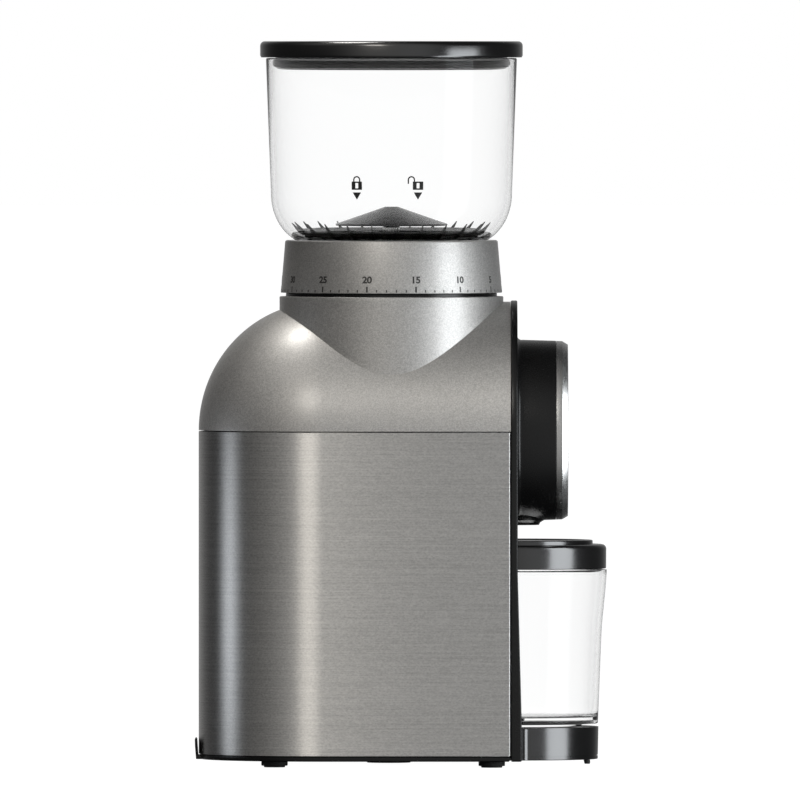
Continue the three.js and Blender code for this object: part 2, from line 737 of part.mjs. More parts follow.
// ---------------------------------------------------------------- burr chamber and rotor
const CHAMBER_FLOOR = 181;
const CHAMBER_BORE = 37;
const BURR_BOTTOM = 190;

function burrChamber() {
  const bottom = CHAMBER_FLOOR - 3;
  const hubBottom = COVER_TOP + 0.5;
  const hub = 11;
  const flange = 49.8;
  const flangeBottom = 199;
  const flangeTop = 201.5;
  const half = 7;
  const profile = [
    [BEARING_SEAT, hubBottom], [hub, hubBottom], [hub, bottom], [CHAMBER_RADIUS, bottom],
    [CHAMBER_RADIUS, flangeBottom], [flange, flangeBottom], [flange, flangeTop], [CHAMBER_BORE, flangeTop],
    [CHAMBER_BORE, CHAMBER_FLOOR], [BEARING_SEAT, CHAMBER_FLOOR],
  ];
  const outlet = block(0, CHAMBER_RADIUS + PAST, -half, half, CHUTE_Z - half + 0.5, CHUTE_Z + half);
  return cut(turned(profile), cut(outlet, disc(CHAMBER_BORE - 2, 0, SEAM_Z * 2, SMALL)));
}

function impeller() {
  const bottom = 183;
  const plateTop = 184.8;
  const top = BURR_BOTTOM - 0.6;
  const radius = 35.5;
  const hub = 11;
  const vane = 1;
  const oneVane = block(hub - 2, radius - 1, -vane, vane, bottom, top);
  const vanes = around(6).map((turn) => oneVane.rotate([0, 0, turn]));
  const wheel = join(disc(radius, bottom, plateTop, MEDIUM), disc(hub, bottom, top, SMALL), ...vanes);
  return cut(wheel, disc(SHAFT_RADIUS + RUNNING, 0, top + PAST, SMALL));
}

// The cone burr: wide at the bottom where it grinds, with upright breaking vanes round its neck.
function coneBurr() {
  const wide = 19.2;
  const waist = 14;
  const neck = 9.5;
  const waistZ = 199;
  const top = 208;
  const vane = 0.9;
  const bore = SHAFT_RADIUS + RUNNING;
  const core = turned([
    [bore, BURR_BOTTOM], [wide, BURR_BOTTOM], [wide, BURR_BOTTOM + 2.5], [waist, waistZ], [neck, top],
    [bore, top],
  ], MEDIUM);
  const oneVane = block(bore + 1, waist, -vane, vane, waistZ - 1, top - 1);
  const vanes = around(4).map((turn) => oneVane.rotate([0, 0, turn]));
  return join(core, ...vanes);
}

function ringBurr() {
  const outer = 26;
  const throat = 20.1;
  const mouth = 21.4;
  const bottom = BURR_BOTTOM + 1.8;
  const top = BURR_BOTTOM + 16.6;
  return turned([
    [throat, bottom], [outer, bottom], [outer, top], [mouth, top], [throat, bottom + 4.2],
  ], MEDIUM);
}

// The funnel that carries the ring burr. It slides up to make a coarser gap.
function upperBurrCarrier() {
  const outer = 40.3;
  const bottom = 202.2;
  const top = 224.3;
  const throat = 21.5;
  const seat = 26.3;
  const seatTop = 206.9;
  const skirt = 29;
  const skirtBottom = BURR_BOTTOM + 2;
  return turned([
    [seat, skirtBottom], [skirt, skirtBottom], [skirt, bottom], [outer, bottom], [outer, top],
    [outer - 2, top], [throat, seatTop + 2.4], [throat, seatTop], [seat, seatTop],
  ]);
}

function burrNut() {
  const radius = 7.5;
  const sides = 6;
  const [bottom, top] = [208.2, 214];
  return cut(disc(radius, bottom, top, sides), disc(SHAFT_RADIUS + RUNNING, 0, top + PAST, SMALL));
}

function burrShaft() {
  const top = 215;
  return disc(SHAFT_RADIUS, GEARBOX_FLOOR + 1, top, SMALL);
}

piece(burrAxis, 'burr_chamber', burrChamber(), 'black');
piece(burrAxis, 'impeller', impeller(), 'grey');
piece(burrAxis, 'cone_burr', coneBurr(), 'steel');
piece(burrAxis, 'burr_shaft', burrShaft(), 'bright');
piece(burrAxis, 'burr_nut', burrNut(), 'bright');
piece(burrAxis, 'ring_burr', ringBurr(), 'steel');
piece(burrAxis, 'upper_burr_carrier', upperBurrCarrier(), 'black');

// ---------------------------------------------------------------- grind ring and hopper seat
const SLEEVE_TOP = 226;
const GASKET_TOP = 228;
const RING_INSIDE = 46.6;

function grindRing() {
  const foot = 52;
  const head = 49.9;
  const edge = 0.9;
  return turned([
    [RING_INSIDE, RING_BOTTOM], [foot, RING_BOTTOM], [head, RING_TOP - edge], [head - edge, RING_TOP],
    [RING_INSIDE, RING_TOP],
  ]);
}

// The sleeve under the ring, which lifts the burr carrier.
function ringSleeve() {
  const inner = 41;
  const bottom = 203.5;
  return tube(inner, RING_INSIDE - 0.4, bottom, SLEEVE_TOP);
}

function hopperGasket() {
  const [inner, outer] = [41.5, 45.8];
  return tube(inner, outer, SLEEVE_TOP + CLOSE_GAP, GASKET_TOP);
}

piece(burrAxis, 'grind_ring', grindRing(), 'paint');
piece(burrAxis, 'ring_sleeve', ringSleeve(), 'grey');
piece(burrAxis, 'hopper_gasket', hopperGasket(), 'rubber');

// ---------------------------------------------------------------- hopper
const BOWL_BOTTOM = RING_TOP - 0.2;
const BOWL_WALL = 2.2;
const SHOULDER_Z = 268.4;     // where the bowl's straight side becomes its round bottom
const SHOULDER_RADIUS = 56.6;
const RIM_RADIUS = 59;
const ROUND_ACROSS = 20.2;    // semi-axes of the round bottom
const ROUND_DOWN = 24;

// Radius of the bowl at a height, on its outside or at a distance inside it.
function bowlRadius(z, inset) {
  const centre = SHOULDER_RADIUS - ROUND_ACROSS;
  const drop = Math.max(0, SHOULDER_Z - z) / (ROUND_DOWN - inset);
  const taper = ((RIM_RADIUS - SHOULDER_RADIUS) * Math.max(0, z - SHOULDER_Z)) / (BOWL_RIM - SHOULDER_Z);
  return centre + (ROUND_ACROSS - inset) * Math.sqrt(1 - drop ** 2) + taper;
}

function hopperBowl() {
  const lip = 38.6;
  const lipTop = 247.3;
  const roundBottom = (from, inset) => {
    const lowest = Math.asin(Math.min(1, (SHOULDER_Z - from) / (ROUND_DOWN - inset)));
    return arc(4, lowest, 0, (t) => {
      const z = SHOULDER_Z - (ROUND_DOWN - inset) * Math.sin(t);
      return [bowlRadius(z, inset), z];
    });
  };
  const outside = [...roundBottom(BOWL_BOTTOM, 0), [RIM_RADIUS, BOWL_RIM]];
  const inside = [...roundBottom(lipTop, BOWL_WALL), [RIM_RADIUS - BOWL_WALL, BOWL_RIM]].reverse();
  return turned([[lip, BOWL_BOTTOM], ...outside, ...inside, [lip, lipTop]]);
}

// The black base of the hopper, which drops into the ring and rests on the gasket.
function hopperCollar() {
  const outer = 44.8;
  const wall = 2.8;
  const throat = 36;
  const bottom = GASKET_TOP + CLOSE_GAP;
  const top = BOWL_BOTTOM - 0.2;
  return turned([
    [throat, bottom], [outer, bottom], [outer, top], [outer - wall, top], [outer - wall, bottom + 5],
    [throat, bottom + 2.4],
  ]);
}

const FIN_COUNT = 24;
const FIN_OFFSET = 3.5;       // degrees
const GUARD_BOTTOM = BOWL_BOTTOM + 0.3;

// A conical band with upright blades round it, and three spokes that carry the hub under the cone.
function beanGuard() {
  const foot = 35.6;
  const step = 38.3;
  const hub = 6;
  const screwHole = 2.1;
  const spokeHalf = 1.5;
  const spokeTop = GUARD_BOTTOM + 2.4;
  const finHalf = 0.5;
  const up = (radius, height) => [radius, GUARD_BOTTOM + height];
  const band = turned([
    up(foot, 0), up(step, 0), up(step, 0.9), up(45.6, 4.7), up(44.9, 5.7), up(37.6, 2.5), up(foot, 2.5),
  ]);
  const fin = across([up(36.6, 1.3), up(43.4, 3.7), up(47.4, 7.9), up(46.4, 7.7), up(36.6, 4.3)], finHalf);
  const fins = around(FIN_COUNT).map((turn) => fin.rotate([0, 0, turn + FIN_OFFSET]));
  const spoke = block(hub - 1, foot + 1, -spokeHalf, spokeHalf, GUARD_BOTTOM, spokeTop);
  const spokes = around(3).map((turn) => spoke.rotate([0, 0, turn]));
  return cut(
    join(band, ...fins, ...spokes, disc(hub, GUARD_BOTTOM, spokeTop, SMALL)),
    disc(screwHole, 0, spokeTop + PAST, TINY),
  );
}

function guardCone() {
  const underside = 253.2;
  const edge = 1.2;
  const top = 262.4;
  const radius = 26.2;
  const flat = 3;
  const socket = 2.1;
  const socketTop = underside + 4.5;
  return turned([
    [0, socketTop], [socket, socketTop], [socket, underside], [radius, underside], [radius, underside + edge],
    [flat, top], [0, top],
  ], MEDIUM);
}

function guardScrew() {
  const shank = 1.8;
  const head = 4;
  const bottom = GUARD_BOTTOM + 0.3;
  const headBottom = GUARD_BOTTOM + 2.7;
  const headTop = headBottom + 3.2;
  const top = 257;
  return turned([
    [0, bottom], [shank, bottom], [shank, headBottom], [head, headBottom], [head, headTop], [shank, headTop],
    [shank, top], [0, top],
  ], TINY);
}

piece(burrAxis, 'hopper_bowl', hopperBowl(), 'clear');
piece(burrAxis, 'hopper_collar', hopperCollar(), 'black');
piece(burrAxis, 'bean_guard', beanGuard(), 'black');
piece(burrAxis, 'guard_cone', guardCone(), 'black');
piece(burrAxis, 'guard_screw', guardScrew(), 'bright');

// ---------------------------------------------------------------- hopper lid
const PLUG_RADIUS = 54.4;

function hopperLid() {
  const radius = 61.7;
  const bottom = BOWL_RIM + GAP;
  const roof = 337.4;
  const plugInside = PLUG_RADIUS - 2.2;
  const plugBottom = 326.6;
  return turned([
    [0, roof], [plugInside, roof], [plugInside, plugBottom], [PLUG_RADIUS, plugBottom],
    [PLUG_RADIUS, bottom], [radius - 0.3, bottom], [radius, bottom + 0.6], [radius - 0.2, LID_TOP - 2.4],
    [radius - 0.9, LID_TOP - 0.8], [radius - 2.4, LID_TOP], [0, LID_TOP],
  ]);
}

function lidSeal() {
  const outer = 56.2;
  const [bottom, top] = [327.6, 330.8];
  return tube(PLUG_RADIUS + 0.2, outer, bottom, top);
}

piece(burrAxis, 'hopper_lid', hopperLid(), 'black');
piece(burrAxis, 'lid_seal', lidSeal(), 'rubber');

// ---------------------------------------------------------------- cup
const CUP_FOOT_Z = 19.6;
const CUP_WALL = 2;
const CUP_LID_BOTTOM = 92.5;
const CUP_LID_TOP = 103.9;
const INLET_RADIUS = 13;

// The cup's outside: a slow taper with a gentle swell under the lid.
function cupRadius(z) {
  const base = 38.1;
  const taper = 0.0385;
  const swell = 1.38;
  const t = Math.min(1, Math.max(0, (z - 60) / 32));
  return base + taper * (z - 21) + swell * t * t * (3 - 2 * t);
}

function cup() {
  const floor = 22.3;
  const skirtInside = 36.6;
  const corner = 1.6;
  const shoulder = 91.9;
  const rimTop = 98.4;
  const rim = 39.9;
  const heights = [CUP_FOOT_Z + corner, 60, 68, 76, 84];
  const outside = heights.map((z) => [cupRadius(z), z]);
  const inside = [...heights].reverse().slice(0, -1).map((z) => [cupRadius(z) - CUP_WALL, z]);
  const footRadius = cupRadius(CUP_FOOT_Z) - corner + 0.6;
  const floorInside = floor + CUP_WALL;
  const floorRadius = 35.2;
  return turned([
    [0, floor], [skirtInside, floor], [skirtInside, CUP_FOOT_Z + 0.6], [footRadius, CUP_FOOT_Z],
    ...outside, [cupRadius(shoulder), shoulder], [rim, shoulder + 0.2], [rim, rimTop],
    [rim - CUP_WALL, rimTop], ...inside, [floorRadius + 1, floorInside + 1], [floorRadius, floorInside],
    [0, floorInside],
  ]);
}

function cupBasePad() {
  const foot = 30.4;
  const radius = 36.2;
  const bottom = STAND_TOP + CLOSE_GAP;
  const step = CUP_FOOT_Z + 0.1;
  const top = CUP_FOOT_Z + 2.5;
  return turned([[0, bottom], [foot, bottom], [foot, step], [radius, step], [radius, top], [0, top]]);
}

const LID_ROOF = 101.8;       // underside of the cup lid's top
const LID_DISC_RADIUS = 35.6;

// The lid's rim: a skirt that slips over the cup, and a narrow top that carries the raised disc.
function cupLid() {
  const radius = 42;
  const inside = 40.3;
  const edge = 1.6;
  const opening = LID_DISC_RADIUS + CLOSE_GAP;
  return turned([
    [inside, CUP_LID_BOTTOM], [radius, CUP_LID_BOTTOM], [radius, CUP_LID_TOP - edge],
    [radius - 0.5, CUP_LID_TOP - 0.5], [radius - edge, CUP_LID_TOP], [opening, CUP_LID_TOP],
    [opening, LID_ROOF], [inside, LID_ROOF],
  ]);
}

function cupLidDisc() {
  const top = 105.9;
  const edge = 0.6;
  return turned([
    [INLET_RADIUS, LID_ROOF], [LID_DISC_RADIUS, LID_ROOF], [LID_DISC_RADIUS, top - edge],
    [LID_DISC_RADIUS - edge, top], [INLET_RADIUS, top],
  ]);
}

piece(cupAxis, 'cup', cup(), 'clear');
piece(cupAxis, 'cup_base_pad', cupBasePad(), 'rubber');
piece(cupAxis, 'cup_lid', cupLid(), 'black');
piece(cupAxis, 'cup_lid_disc', cupLidDisc(), 'black');

// ---------------------------------------------------------------- electrics
// The power board lies over the gearbox, with its transformer, capacitor and heat sink.
function controlBoard() {
  const board = { back: -83, front: -51, half: 27, bottom: 160, top: 161.6 };
  const transformer = { back: -80, front: -64, right: -22, left: -4, top: 174 };
  const sink = { back: -80, front: -77, right: 4, left: 22, top: 176 };
  const capacitor = { x: -62, y: 10, radius: 5.5, top: 172 };
  const foot = board.top - 0.5;
  return join(
    block(board.back, board.front, -board.half, board.half, board.bottom, board.top),
    ...[transformer, sink].map((part) => (
      block(part.back, part.front, part.right, part.left, foot, part.top))),
    disc(capacitor.radius, foot, capacitor.top, TINY).translate(capacitor.x, capacitor.y, 0),
  );
}

// The switch that stops the motor while the hopper is off.
function hopperSwitch() {
  const [back, front] = [-66.5, -58.5];
  const half = 6;
  const [bottom, top] = [188, 202.5];
  return block(back, front, -half, half, bottom, top);
}

piece(grinder, 'control_board', controlBoard(), 'board');
piece(grinder, 'hopper_switch', hopperSwitch(), 'black');

export default grinder;
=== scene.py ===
# Burr coffee grinder: the looks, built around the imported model.
# Shapes are worked out in millimetres, +Z up and front toward +X, and scaled to metres as each mesh is made.
import json
import math
import bmesh
import bpy
from mathutils import Matrix, Vector


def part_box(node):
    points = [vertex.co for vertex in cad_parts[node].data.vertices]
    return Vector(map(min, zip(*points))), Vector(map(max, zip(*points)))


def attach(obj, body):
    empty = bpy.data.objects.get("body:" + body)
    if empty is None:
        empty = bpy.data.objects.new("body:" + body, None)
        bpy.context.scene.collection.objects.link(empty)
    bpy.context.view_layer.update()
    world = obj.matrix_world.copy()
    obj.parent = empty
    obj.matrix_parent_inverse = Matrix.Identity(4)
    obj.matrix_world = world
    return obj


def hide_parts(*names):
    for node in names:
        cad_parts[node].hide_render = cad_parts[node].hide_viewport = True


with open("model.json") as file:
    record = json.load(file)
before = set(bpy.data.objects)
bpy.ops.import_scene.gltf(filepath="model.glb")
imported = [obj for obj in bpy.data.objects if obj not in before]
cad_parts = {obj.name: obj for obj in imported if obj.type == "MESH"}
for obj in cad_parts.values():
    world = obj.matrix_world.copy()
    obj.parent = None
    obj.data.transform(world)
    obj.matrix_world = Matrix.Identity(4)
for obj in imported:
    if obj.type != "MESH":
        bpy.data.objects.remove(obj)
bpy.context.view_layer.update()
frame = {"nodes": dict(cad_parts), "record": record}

MM = 0.001
FINE = 168                    # segments round the large turned pieces
LARGE = 192
TOOTHED = 432                 # a whole number of segments to each burr tooth
MEDIUM = 96
SMALL = 40
PAST = 4                      # how far a cutter runs past what it cuts
FAR = 400                     # well outside the grinder
PRINT = 0.05                  # how far printed marks stand proud
EDGE = 0.3                    # usual rounding of a moulded edge


# ---------------------------------------------------------------- sizes from the frame
def span(node):
    """Lowest and highest corner of a CAD node, in millimetres."""
    low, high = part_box(node)
    return low / MM, high / MM


def radius_of(node):
    low, high = span(node)
    return (high.y - low.y) / 2


def middle_x(node):
    low, high = span(node)
    return (low.x + high.x) / 2


def middle_z(node):
    low, high = span(node)
    return (low.z + high.z) / 2


BURR_X = middle_x("grind_ring")
CUP_X = middle_x("cup_lid")
POD_Z = middle_z("selector_ring")
WRAP_LOW, WRAP_HIGH = span("steel_wrap")
BODY_HALF = radius_of("steel_wrap")
BACK_X = WRAP_LOW.x + BODY_HALF
BODY_FRONT = WRAP_HIGH.x
SEAM_Z = span("upper_housing")[0].z
COLLAR_TOP = 220.4
DOME_TOP = 218
PANEL_FACE = span("pod_housing")[0].x
RING_LOW, RING_HIGH = span("grind_ring")
FLARE_FOOT = 22               # the panel thickens forward from FLARE_TOP down to FLARE_FOOT
FLARE_TOP = 92.4


# ---------------------------------------------------------------- outlines
def rounded(corners, steps=5):
    """A closed outline from corners (x, y) or (x, y, radius): a corner with a radius becomes an arc."""
    points = []
    for i, corner in enumerate(corners):
        here = Vector(corner[:2])
        before = Vector(corners[i - 1][:2]) - here
        after = Vector(corners[(i + 1) % len(corners)][:2]) - here
        if len(corner) < 3:
            points.append(here)
            continue
        half = before.angle(after) / 2
        run = min(corner[2] / math.tan(half), 0.48 * before.length, 0.48 * after.length)
        radius = run * math.tan(half)
        centre = here + (before.normalized() + after.normalized()).normalized() * radius / math.sin(half)
        start = here + before.normalized() * run - centre
        end = here + after.normalized() * run - centre
        sweep = math.atan2(start.cross(end), start.dot(end))
        for step in range(steps + 1):
            points.append(centre + Matrix.Rotation(sweep * step / steps, 2) @ start)
    return points


def arc(count, start, end, place):
    """Points of place(angle) for angles in degrees from start to end."""
    return [place(math.radians(start + (end - start) * i / count)) for i in range(count + 1)]


def plan(inset=0, front=BODY_FRONT, steps=72, corner=0.8):
    """The body's outline seen from above: straight sides, a round back and small front corners."""
    half = BODY_HALF - inset
    back = arc(steps, -90, -270, lambda t: (BACK_X + half * math.cos(t), half * math.sin(t)))
    return rounded([(front, half, corner), (front, -half, corner)] + back)


def arch(steps=72):
    """The front panel's outline in (y, z): straight sides under half an ellipse."""
    low, high = span("front_panel")
    half = high.y
    height = high.z - SEAM_Z
    top = arc(steps, 0, 180, lambda t: (half * math.cos(t), SEAM_Z + height * math.sin(t)))
    return rounded([(-half, low.z, 1), (half, low.z, 1)] + top)


# ---------------------------------------------------------------- meshes
def show(name, data):
    thing = bpy.data.objects.new(name, data)
    bpy.context.scene.collection.objects.link(thing)
    return thing


def cleaned(mesh):
    """Merges a mesh's doubled points and turns its faces outward."""
    bm = bmesh.new()
    bm.from_mesh(mesh)
    bmesh.ops.remove_doubles(bm, verts=bm.verts, dist=1e-4)
    bmesh.ops.recalc_face_normals(bm, faces=bm.faces)
    bm.to_mesh(mesh)
    bm.free()
    return mesh


def mesh_object(name, vertices, faces):
    mesh = bpy.data.meshes.new(name)
    mesh.from_pydata([tuple(v) for v in vertices], [], faces)
    return show(name, cleaned(mesh))


def lathe(name, profile, x=0, z=0, segments=FINE, lying=False, shape=None):
    """A closed profile of (radius, height) turned about an upright axis at x, or about one along X
    through (x, z). shape(radius, height, angle) may change the radius."""
    vertices = []
    faces = []
    count = len(profile)
    for i in range(segments):
        angle = 2 * math.pi * i / segments
        for radius, height in profile:
            if shape:
                radius = shape(radius, height, angle)
            side, ahead = radius * math.sin(angle), radius * math.cos(angle)
            vertices.append((x + height, side, z - ahead) if lying else (x + ahead, side, z + height))
    for i in range(segments):
        here, there = i * count, (i + 1) % segments * count
        for k in range(count):
            after = (k + 1) % count
            on_axis = [abs(profile[k][0]) < 1e-6, abs(profile[after][0]) < 1e-6]
            if not all(on_axis):
                faces.append((here + k, there + k, there + after, here + after))
    return mesh_object(name, vertices, faces)


def loft(name, loops, ring=False):
    """A solid through loops of 3-D points with equal counts, capped at its ends unless it is a ring."""
    count = len(loops[0])
    vertices = [point for loop in loops for point in loop]
    faces = []
    for i in range(len(loops) if ring else len(loops) - 1):
        here, there = i * count, (i + 1) % len(loops) * count
        for k in range(count):
            after = (k + 1) % count
            faces.append((here + k, here + after, there + after, there + k))
    if not ring:
        faces.append(tuple(range(count)))
        faces.append(tuple(range((len(loops) - 1) * count, len(loops) * count)))
    return mesh_object(name, vertices, faces)


def upright(name, outline, low, high):
    return loft(name, [[(x, y, height) for x, y in outline] for height in (low, high)])


def crosswise(name, outline, low, high):
    """An outline in (x, z), made solid across the width from y = low to y = high."""
    return loft(name, [[(x, y, z) for x, z in outline] for y in (low, high)])


def block(name, low, high):
    x0, y0, z0 = low
    x1, y1, z1 = high
    return upright(name, [(x0, y0), (x1, y0), (x1, y1), (x0, y1)], z0, z1)


def rod(name, radius, low, high, x=0, z=0, segments=FINE, lying=False):
    return lathe(name, [(0, low), (radius, low), (radius, high), (0, high)], x, z, segments, lying)


def settle(piece):
    """Applies a piece's modifiers to its mesh."""
    graph = bpy.context.evaluated_depsgraph_get()
    mesh = bpy.data.meshes.new_from_object(piece.evaluated_get(graph))
    piece.modifiers.clear()
    piece.data = mesh
    return piece


def combine(operation, piece, *others):
    for other in others:
        change = piece.modifiers.new("change", "BOOLEAN")
        change.operation = operation
        change.solver = "MANIFOLD"
        change.object = other
        settle(piece)
        bpy.data.objects.remove(other)
    return piece


def cut(piece, *others):
    return combine("DIFFERENCE", piece, *others)


def join(piece, *others):
    return combine("UNION", piece, *others)


def soften(piece, width=EDGE, segments=2, angle=40):
    """Rounds a piece's sharp edges."""
    change = piece.modifiers.new("soften", "BEVEL")
    change.width = width
    change.segments = segments
    change.limit_method = "ANGLE"
    change.angle_limit = math.radians(angle)
    change.use_clamp_overlap = False
    return settle(piece)


def merge(name, things):
    """Several separate solids as one piece."""
    bm = bmesh.new()
    for thing in things:
        bm.from_mesh(thing.data)
        bpy.data.objects.remove(thing)
    mesh = bpy.data.meshes.new(name)
    bm.to_mesh(mesh)
    bm.free()
    return show(name, mesh)


def finish_piece(piece, body, slot, *nodes, look=None, sharp=32):
    """Scales a piece to metres, smooths it up to its sharp edges, gives it a body and finish, and hides the
    CAD nodes it stands in for.
    """
    piece.data.transform(Matrix.Scale(MM, 4))
    piece.data.shade_smooth()
    piece.data.set_sharp_from_angle(angle=math.radians(sharp))
    piece.data.materials.clear()
    piece.data.materials.append(LOOKS[look or slot])
    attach(piece, body)
    if nodes:
        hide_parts(*nodes)
    return piece


# ---------------------------------------------------------------- material building blocks
def add_node(tree, kind, *values, operation=None):
    """Adds a shader node, with its first inputs linked or set in order."""
    node = tree.nodes.new(kind)
    if operation:
        node.operation = operation
    for socket, value in zip(node.inputs, values):
        if isinstance(value, bpy.types.NodeSocket):
            tree.links.new(value, socket)
        else:
            socket.default_value = value
    return node


class Looks:
    """A material's node tree, with short ways to add and join nodes."""

    def __init__(self, name):
        self.material = bpy.data.materials.new(name)
        self.material.use_nodes = True
        self.tree = self.material.node_tree
        self.shader = self.tree.nodes["Principled BSDF"]
        self.place = self.add("ShaderNodeTexCoord").outputs["Object"]

    def add(self, kind, **settings):
        node = self.tree.nodes.new(kind)
        for key, value in settings.items():
            setattr(node, key, value)
        return node

    def fill(self, node, **values):
        """Sets or links a node's inputs, named with underscores for spaces."""
        for key, value in values.items():
            socket = node.inputs[key.replace("_", " ")]
            if isinstance(value, bpy.types.NodeSocket):
                self.tree.links.new(value, socket)
            else:
                socket.default_value = value
        return node

    def noise(self, size, stretch=(1, 1, 1), detail=3, roughness=0.55):
        """Noise whose features are about size millimetres across, longer along an axis by stretch."""
        scale = [1 / (size * MM * s) for s in stretch]
        mapping = self.fill(self.add("ShaderNodeMapping"), Vector=self.place, Scale=scale)
        node = self.fill(self.add("ShaderNodeTexNoise"), Vector=mapping.outputs[0], Scale=1.0,
                         Detail=detail, Roughness=roughness)
        return node.outputs["Fac"]

    def flakes(self, size):
        node = self.fill(self.add("ShaderNodeTexVoronoi"), Vector=self.place, Scale=1 / (size * MM))
        return node

    def between(self, value, low, high, start=0.3, end=0.7):
        node = self.fill(self.add("ShaderNodeMapRange"), Value=value)
        self.fill(node, From_Min=start, From_Max=end, To_Min=low, To_Max=high)
        return node.outputs[0]

    def times(self, first, second, operation="MULTIPLY"):
        return add_node(self.tree, "ShaderNodeMath", first, second, operation=operation).outputs[0]

    def tint(self, amount, dark, light):
        node = self.add("ShaderNodeMix", data_type="RGBA")
        sockets = [s for s in node.inputs if s.enabled]
        for socket, value in zip(sockets, (amount, (*dark, 1), (*light, 1))):
            if isinstance(value, bpy.types.NodeSocket):
                self.tree.links.new(value, socket)
            else:
                socket.default_value = value
        return [s for s in node.outputs if s.enabled][0]

    def bump(self, height, depth, strength=1.0, under=None):
        """A bump of depth millimetres, laid over another bump where one is given."""
        node = self.fill(self.add("ShaderNodeBump"), Height=height, Distance=depth * MM, Strength=strength)
        if under:
            self.tree.links.new(under, node.inputs["Normal"])
        return node.outputs[0]


def shade(colour, factor):
    return tuple(min(1, c * factor) for c in colour)


def moulded(name, colour, rough, grain=0.5, depth=0.01, vary=0.12, spread=0.06, **fixed):
    """Plastic or rubber: a fine grain, and a broad unevenness in its gloss and colour."""
    looks = Looks(name)
    fine = looks.noise(grain)
    broad = looks.noise(28, detail=4)
    looks.fill(
        looks.shader,
        Base_Color=looks.tint(looks.between(broad, 0, 1), shade(colour, 1 - vary), shade(colour, 1 + vary)),
        Roughness=looks.between(looks.times(fine, broad, "ADD"), rough - spread, rough + spread, 0.7, 1.3),
        Normal=looks.bump(fine, depth),
        **fixed,
    )
    return looks.material


def metal(name, colour, rough, line=0.12, stretch=(1, 1, 1), depth=0.004, vary=0.12, spread=0.06, **fixed):
    """Bare metal with fine tool or brush lines."""
    looks = Looks(name)
    lines = looks.noise(line, stretch, detail=5, roughness=0.7)
    broad = looks.noise(22, detail=4)
    looks.fill(
        looks.shader,
        Metallic=1.0,
        Base_Color=looks.tint(looks.between(lines, 0, 1), shade(colour, 1 - vary), shade(colour, 1 + vary)),
        Roughness=looks.between(looks.times(lines, broad, "ADD"), rough - spread, rough + spread, 0.7, 1.3),
        Normal=looks.bump(lines, depth),
        **fixed,
    )
    return looks.material


# ---------------------------------------------------------------- the special finishes
def brushed_steel():
    """Sheet steel brushed along the body: thin level lines of uneven length and a fine frosting."""
    looks = Looks("brushed_steel")
    long_lines = looks.noise(0.6, (150, 150, 1), detail=6, roughness=0.7)
    short_lines = looks.noise(0.4, (30, 30, 1), detail=3, roughness=0.6)
    frost = looks.noise(0.62, (1.7, 1.7, 1), detail=2, roughness=0.7)
    lines = looks.times(looks.times(long_lines, 0.6), looks.times(short_lines, 0.4), "ADD")
    streaks = looks.times(looks.times(lines, 0.55), looks.times(frost, 0.45), "ADD")
    under = looks.bump(frost, 0.012)
    tangent = looks.add("ShaderNodeTangent", direction_type="RADIAL", axis="Z")
    looks.fill(
        looks.shader,
        Metallic=1.0,
        Base_Color=looks.tint(
            looks.between(streaks, 0, 1, 0.38, 0.62), (0.62, 0.614, 0.595), (0.96, 0.95, 0.925)),
        Roughness=looks.between(streaks, 0.38, 0.48),
        Normal=looks.bump(lines, 0.012, under=under),
        Anisotropic=0.95,
        Anisotropic_Rotation=0.25,
        Tangent=tangent.outputs[0],
    )
    return looks.material


def metallic_paint():
    """Warm grey paint with metal flake, under a thin satin coat."""
    looks = Looks("metallic_paint")
    cells = looks.flakes(0.42)
    separate = looks.fill(looks.add("ShaderNodeSeparateColor"), Color=cells.outputs["Color"])
    sparkle = looks.times(looks.times(separate.outputs[0], 0.5), looks.times(looks.noise(0.5), 0.5), "ADD")
    broad = looks.noise(40, detail=3)
    looks.fill(
        looks.shader,
        Metallic=0.88,
        Base_Color=looks.tint(looks.between(sparkle, 0, 1, 0.2, 0.8), (0.42, 0.413, 0.4), (0.66, 0.65, 0.63)),
        Roughness=looks.between(looks.times(sparkle, broad, "ADD"), 0.48, 0.56, 0.7, 1.3),
        Normal=looks.bump(sparkle, 0.02),
        Coat_Weight=0.8,
        Coat_Roughness=0.24,
    )
    return looks.material


def bezel_metal():
    """Silver ring, brushed round its axis, which lies along X."""
    looks = Looks("ring_metal")
    lines = looks.noise(0.22, (1, 26, 26), detail=5, roughness=0.7)
    broad = looks.noise(24, detail=3)
    tangent = looks.add("ShaderNodeTangent", direction_type="RADIAL", axis="X")
    looks.fill(
        looks.shader,
        Metallic=1.0,
        Base_Color=looks.tint(looks.between(lines, 0, 1), (0.62, 0.62, 0.61), (0.76, 0.76, 0.75)),
        Roughness=looks.between(looks.times(lines, broad, "ADD"), 0.22, 0.32, 0.7, 1.3),
        Normal=looks.bump(lines, 0.006),
        Anisotropic=0.5,
        Tangent=tangent.outputs[0],
    )
    return looks.material


def clear_plastic():
    """Clear, with painted grey shade where the wall is seen along its length, standing in for the dark
    reflections at its edges.
    """
    looks = Looks("clear_plastic")
    broad = looks.noise(60, detail=2)
    fine = looks.noise(3.0, detail=2)
    edge_on = looks.fill(looks.add("ShaderNodeLayerWeight"), Blend=0.5).outputs["Facing"]
    # painted shade: grey mixed into the colour as the wall turns edge-on to the view
    grey = looks.times(looks.times(edge_on, 3.0, "POWER"), looks.between(broad, 0.85, 1))
    looks.fill(
        looks.shader,
        Base_Color=looks.tint(grey, (0.985, 0.987, 0.987), (0.62, 0.625, 0.63)),
        Roughness=looks.between(broad, 0.0, 0.02),
        Normal=looks.bump(fine, 0.001),
        Transmission_Weight=1.0,
        IOR=1.2,
    )
    return looks.material


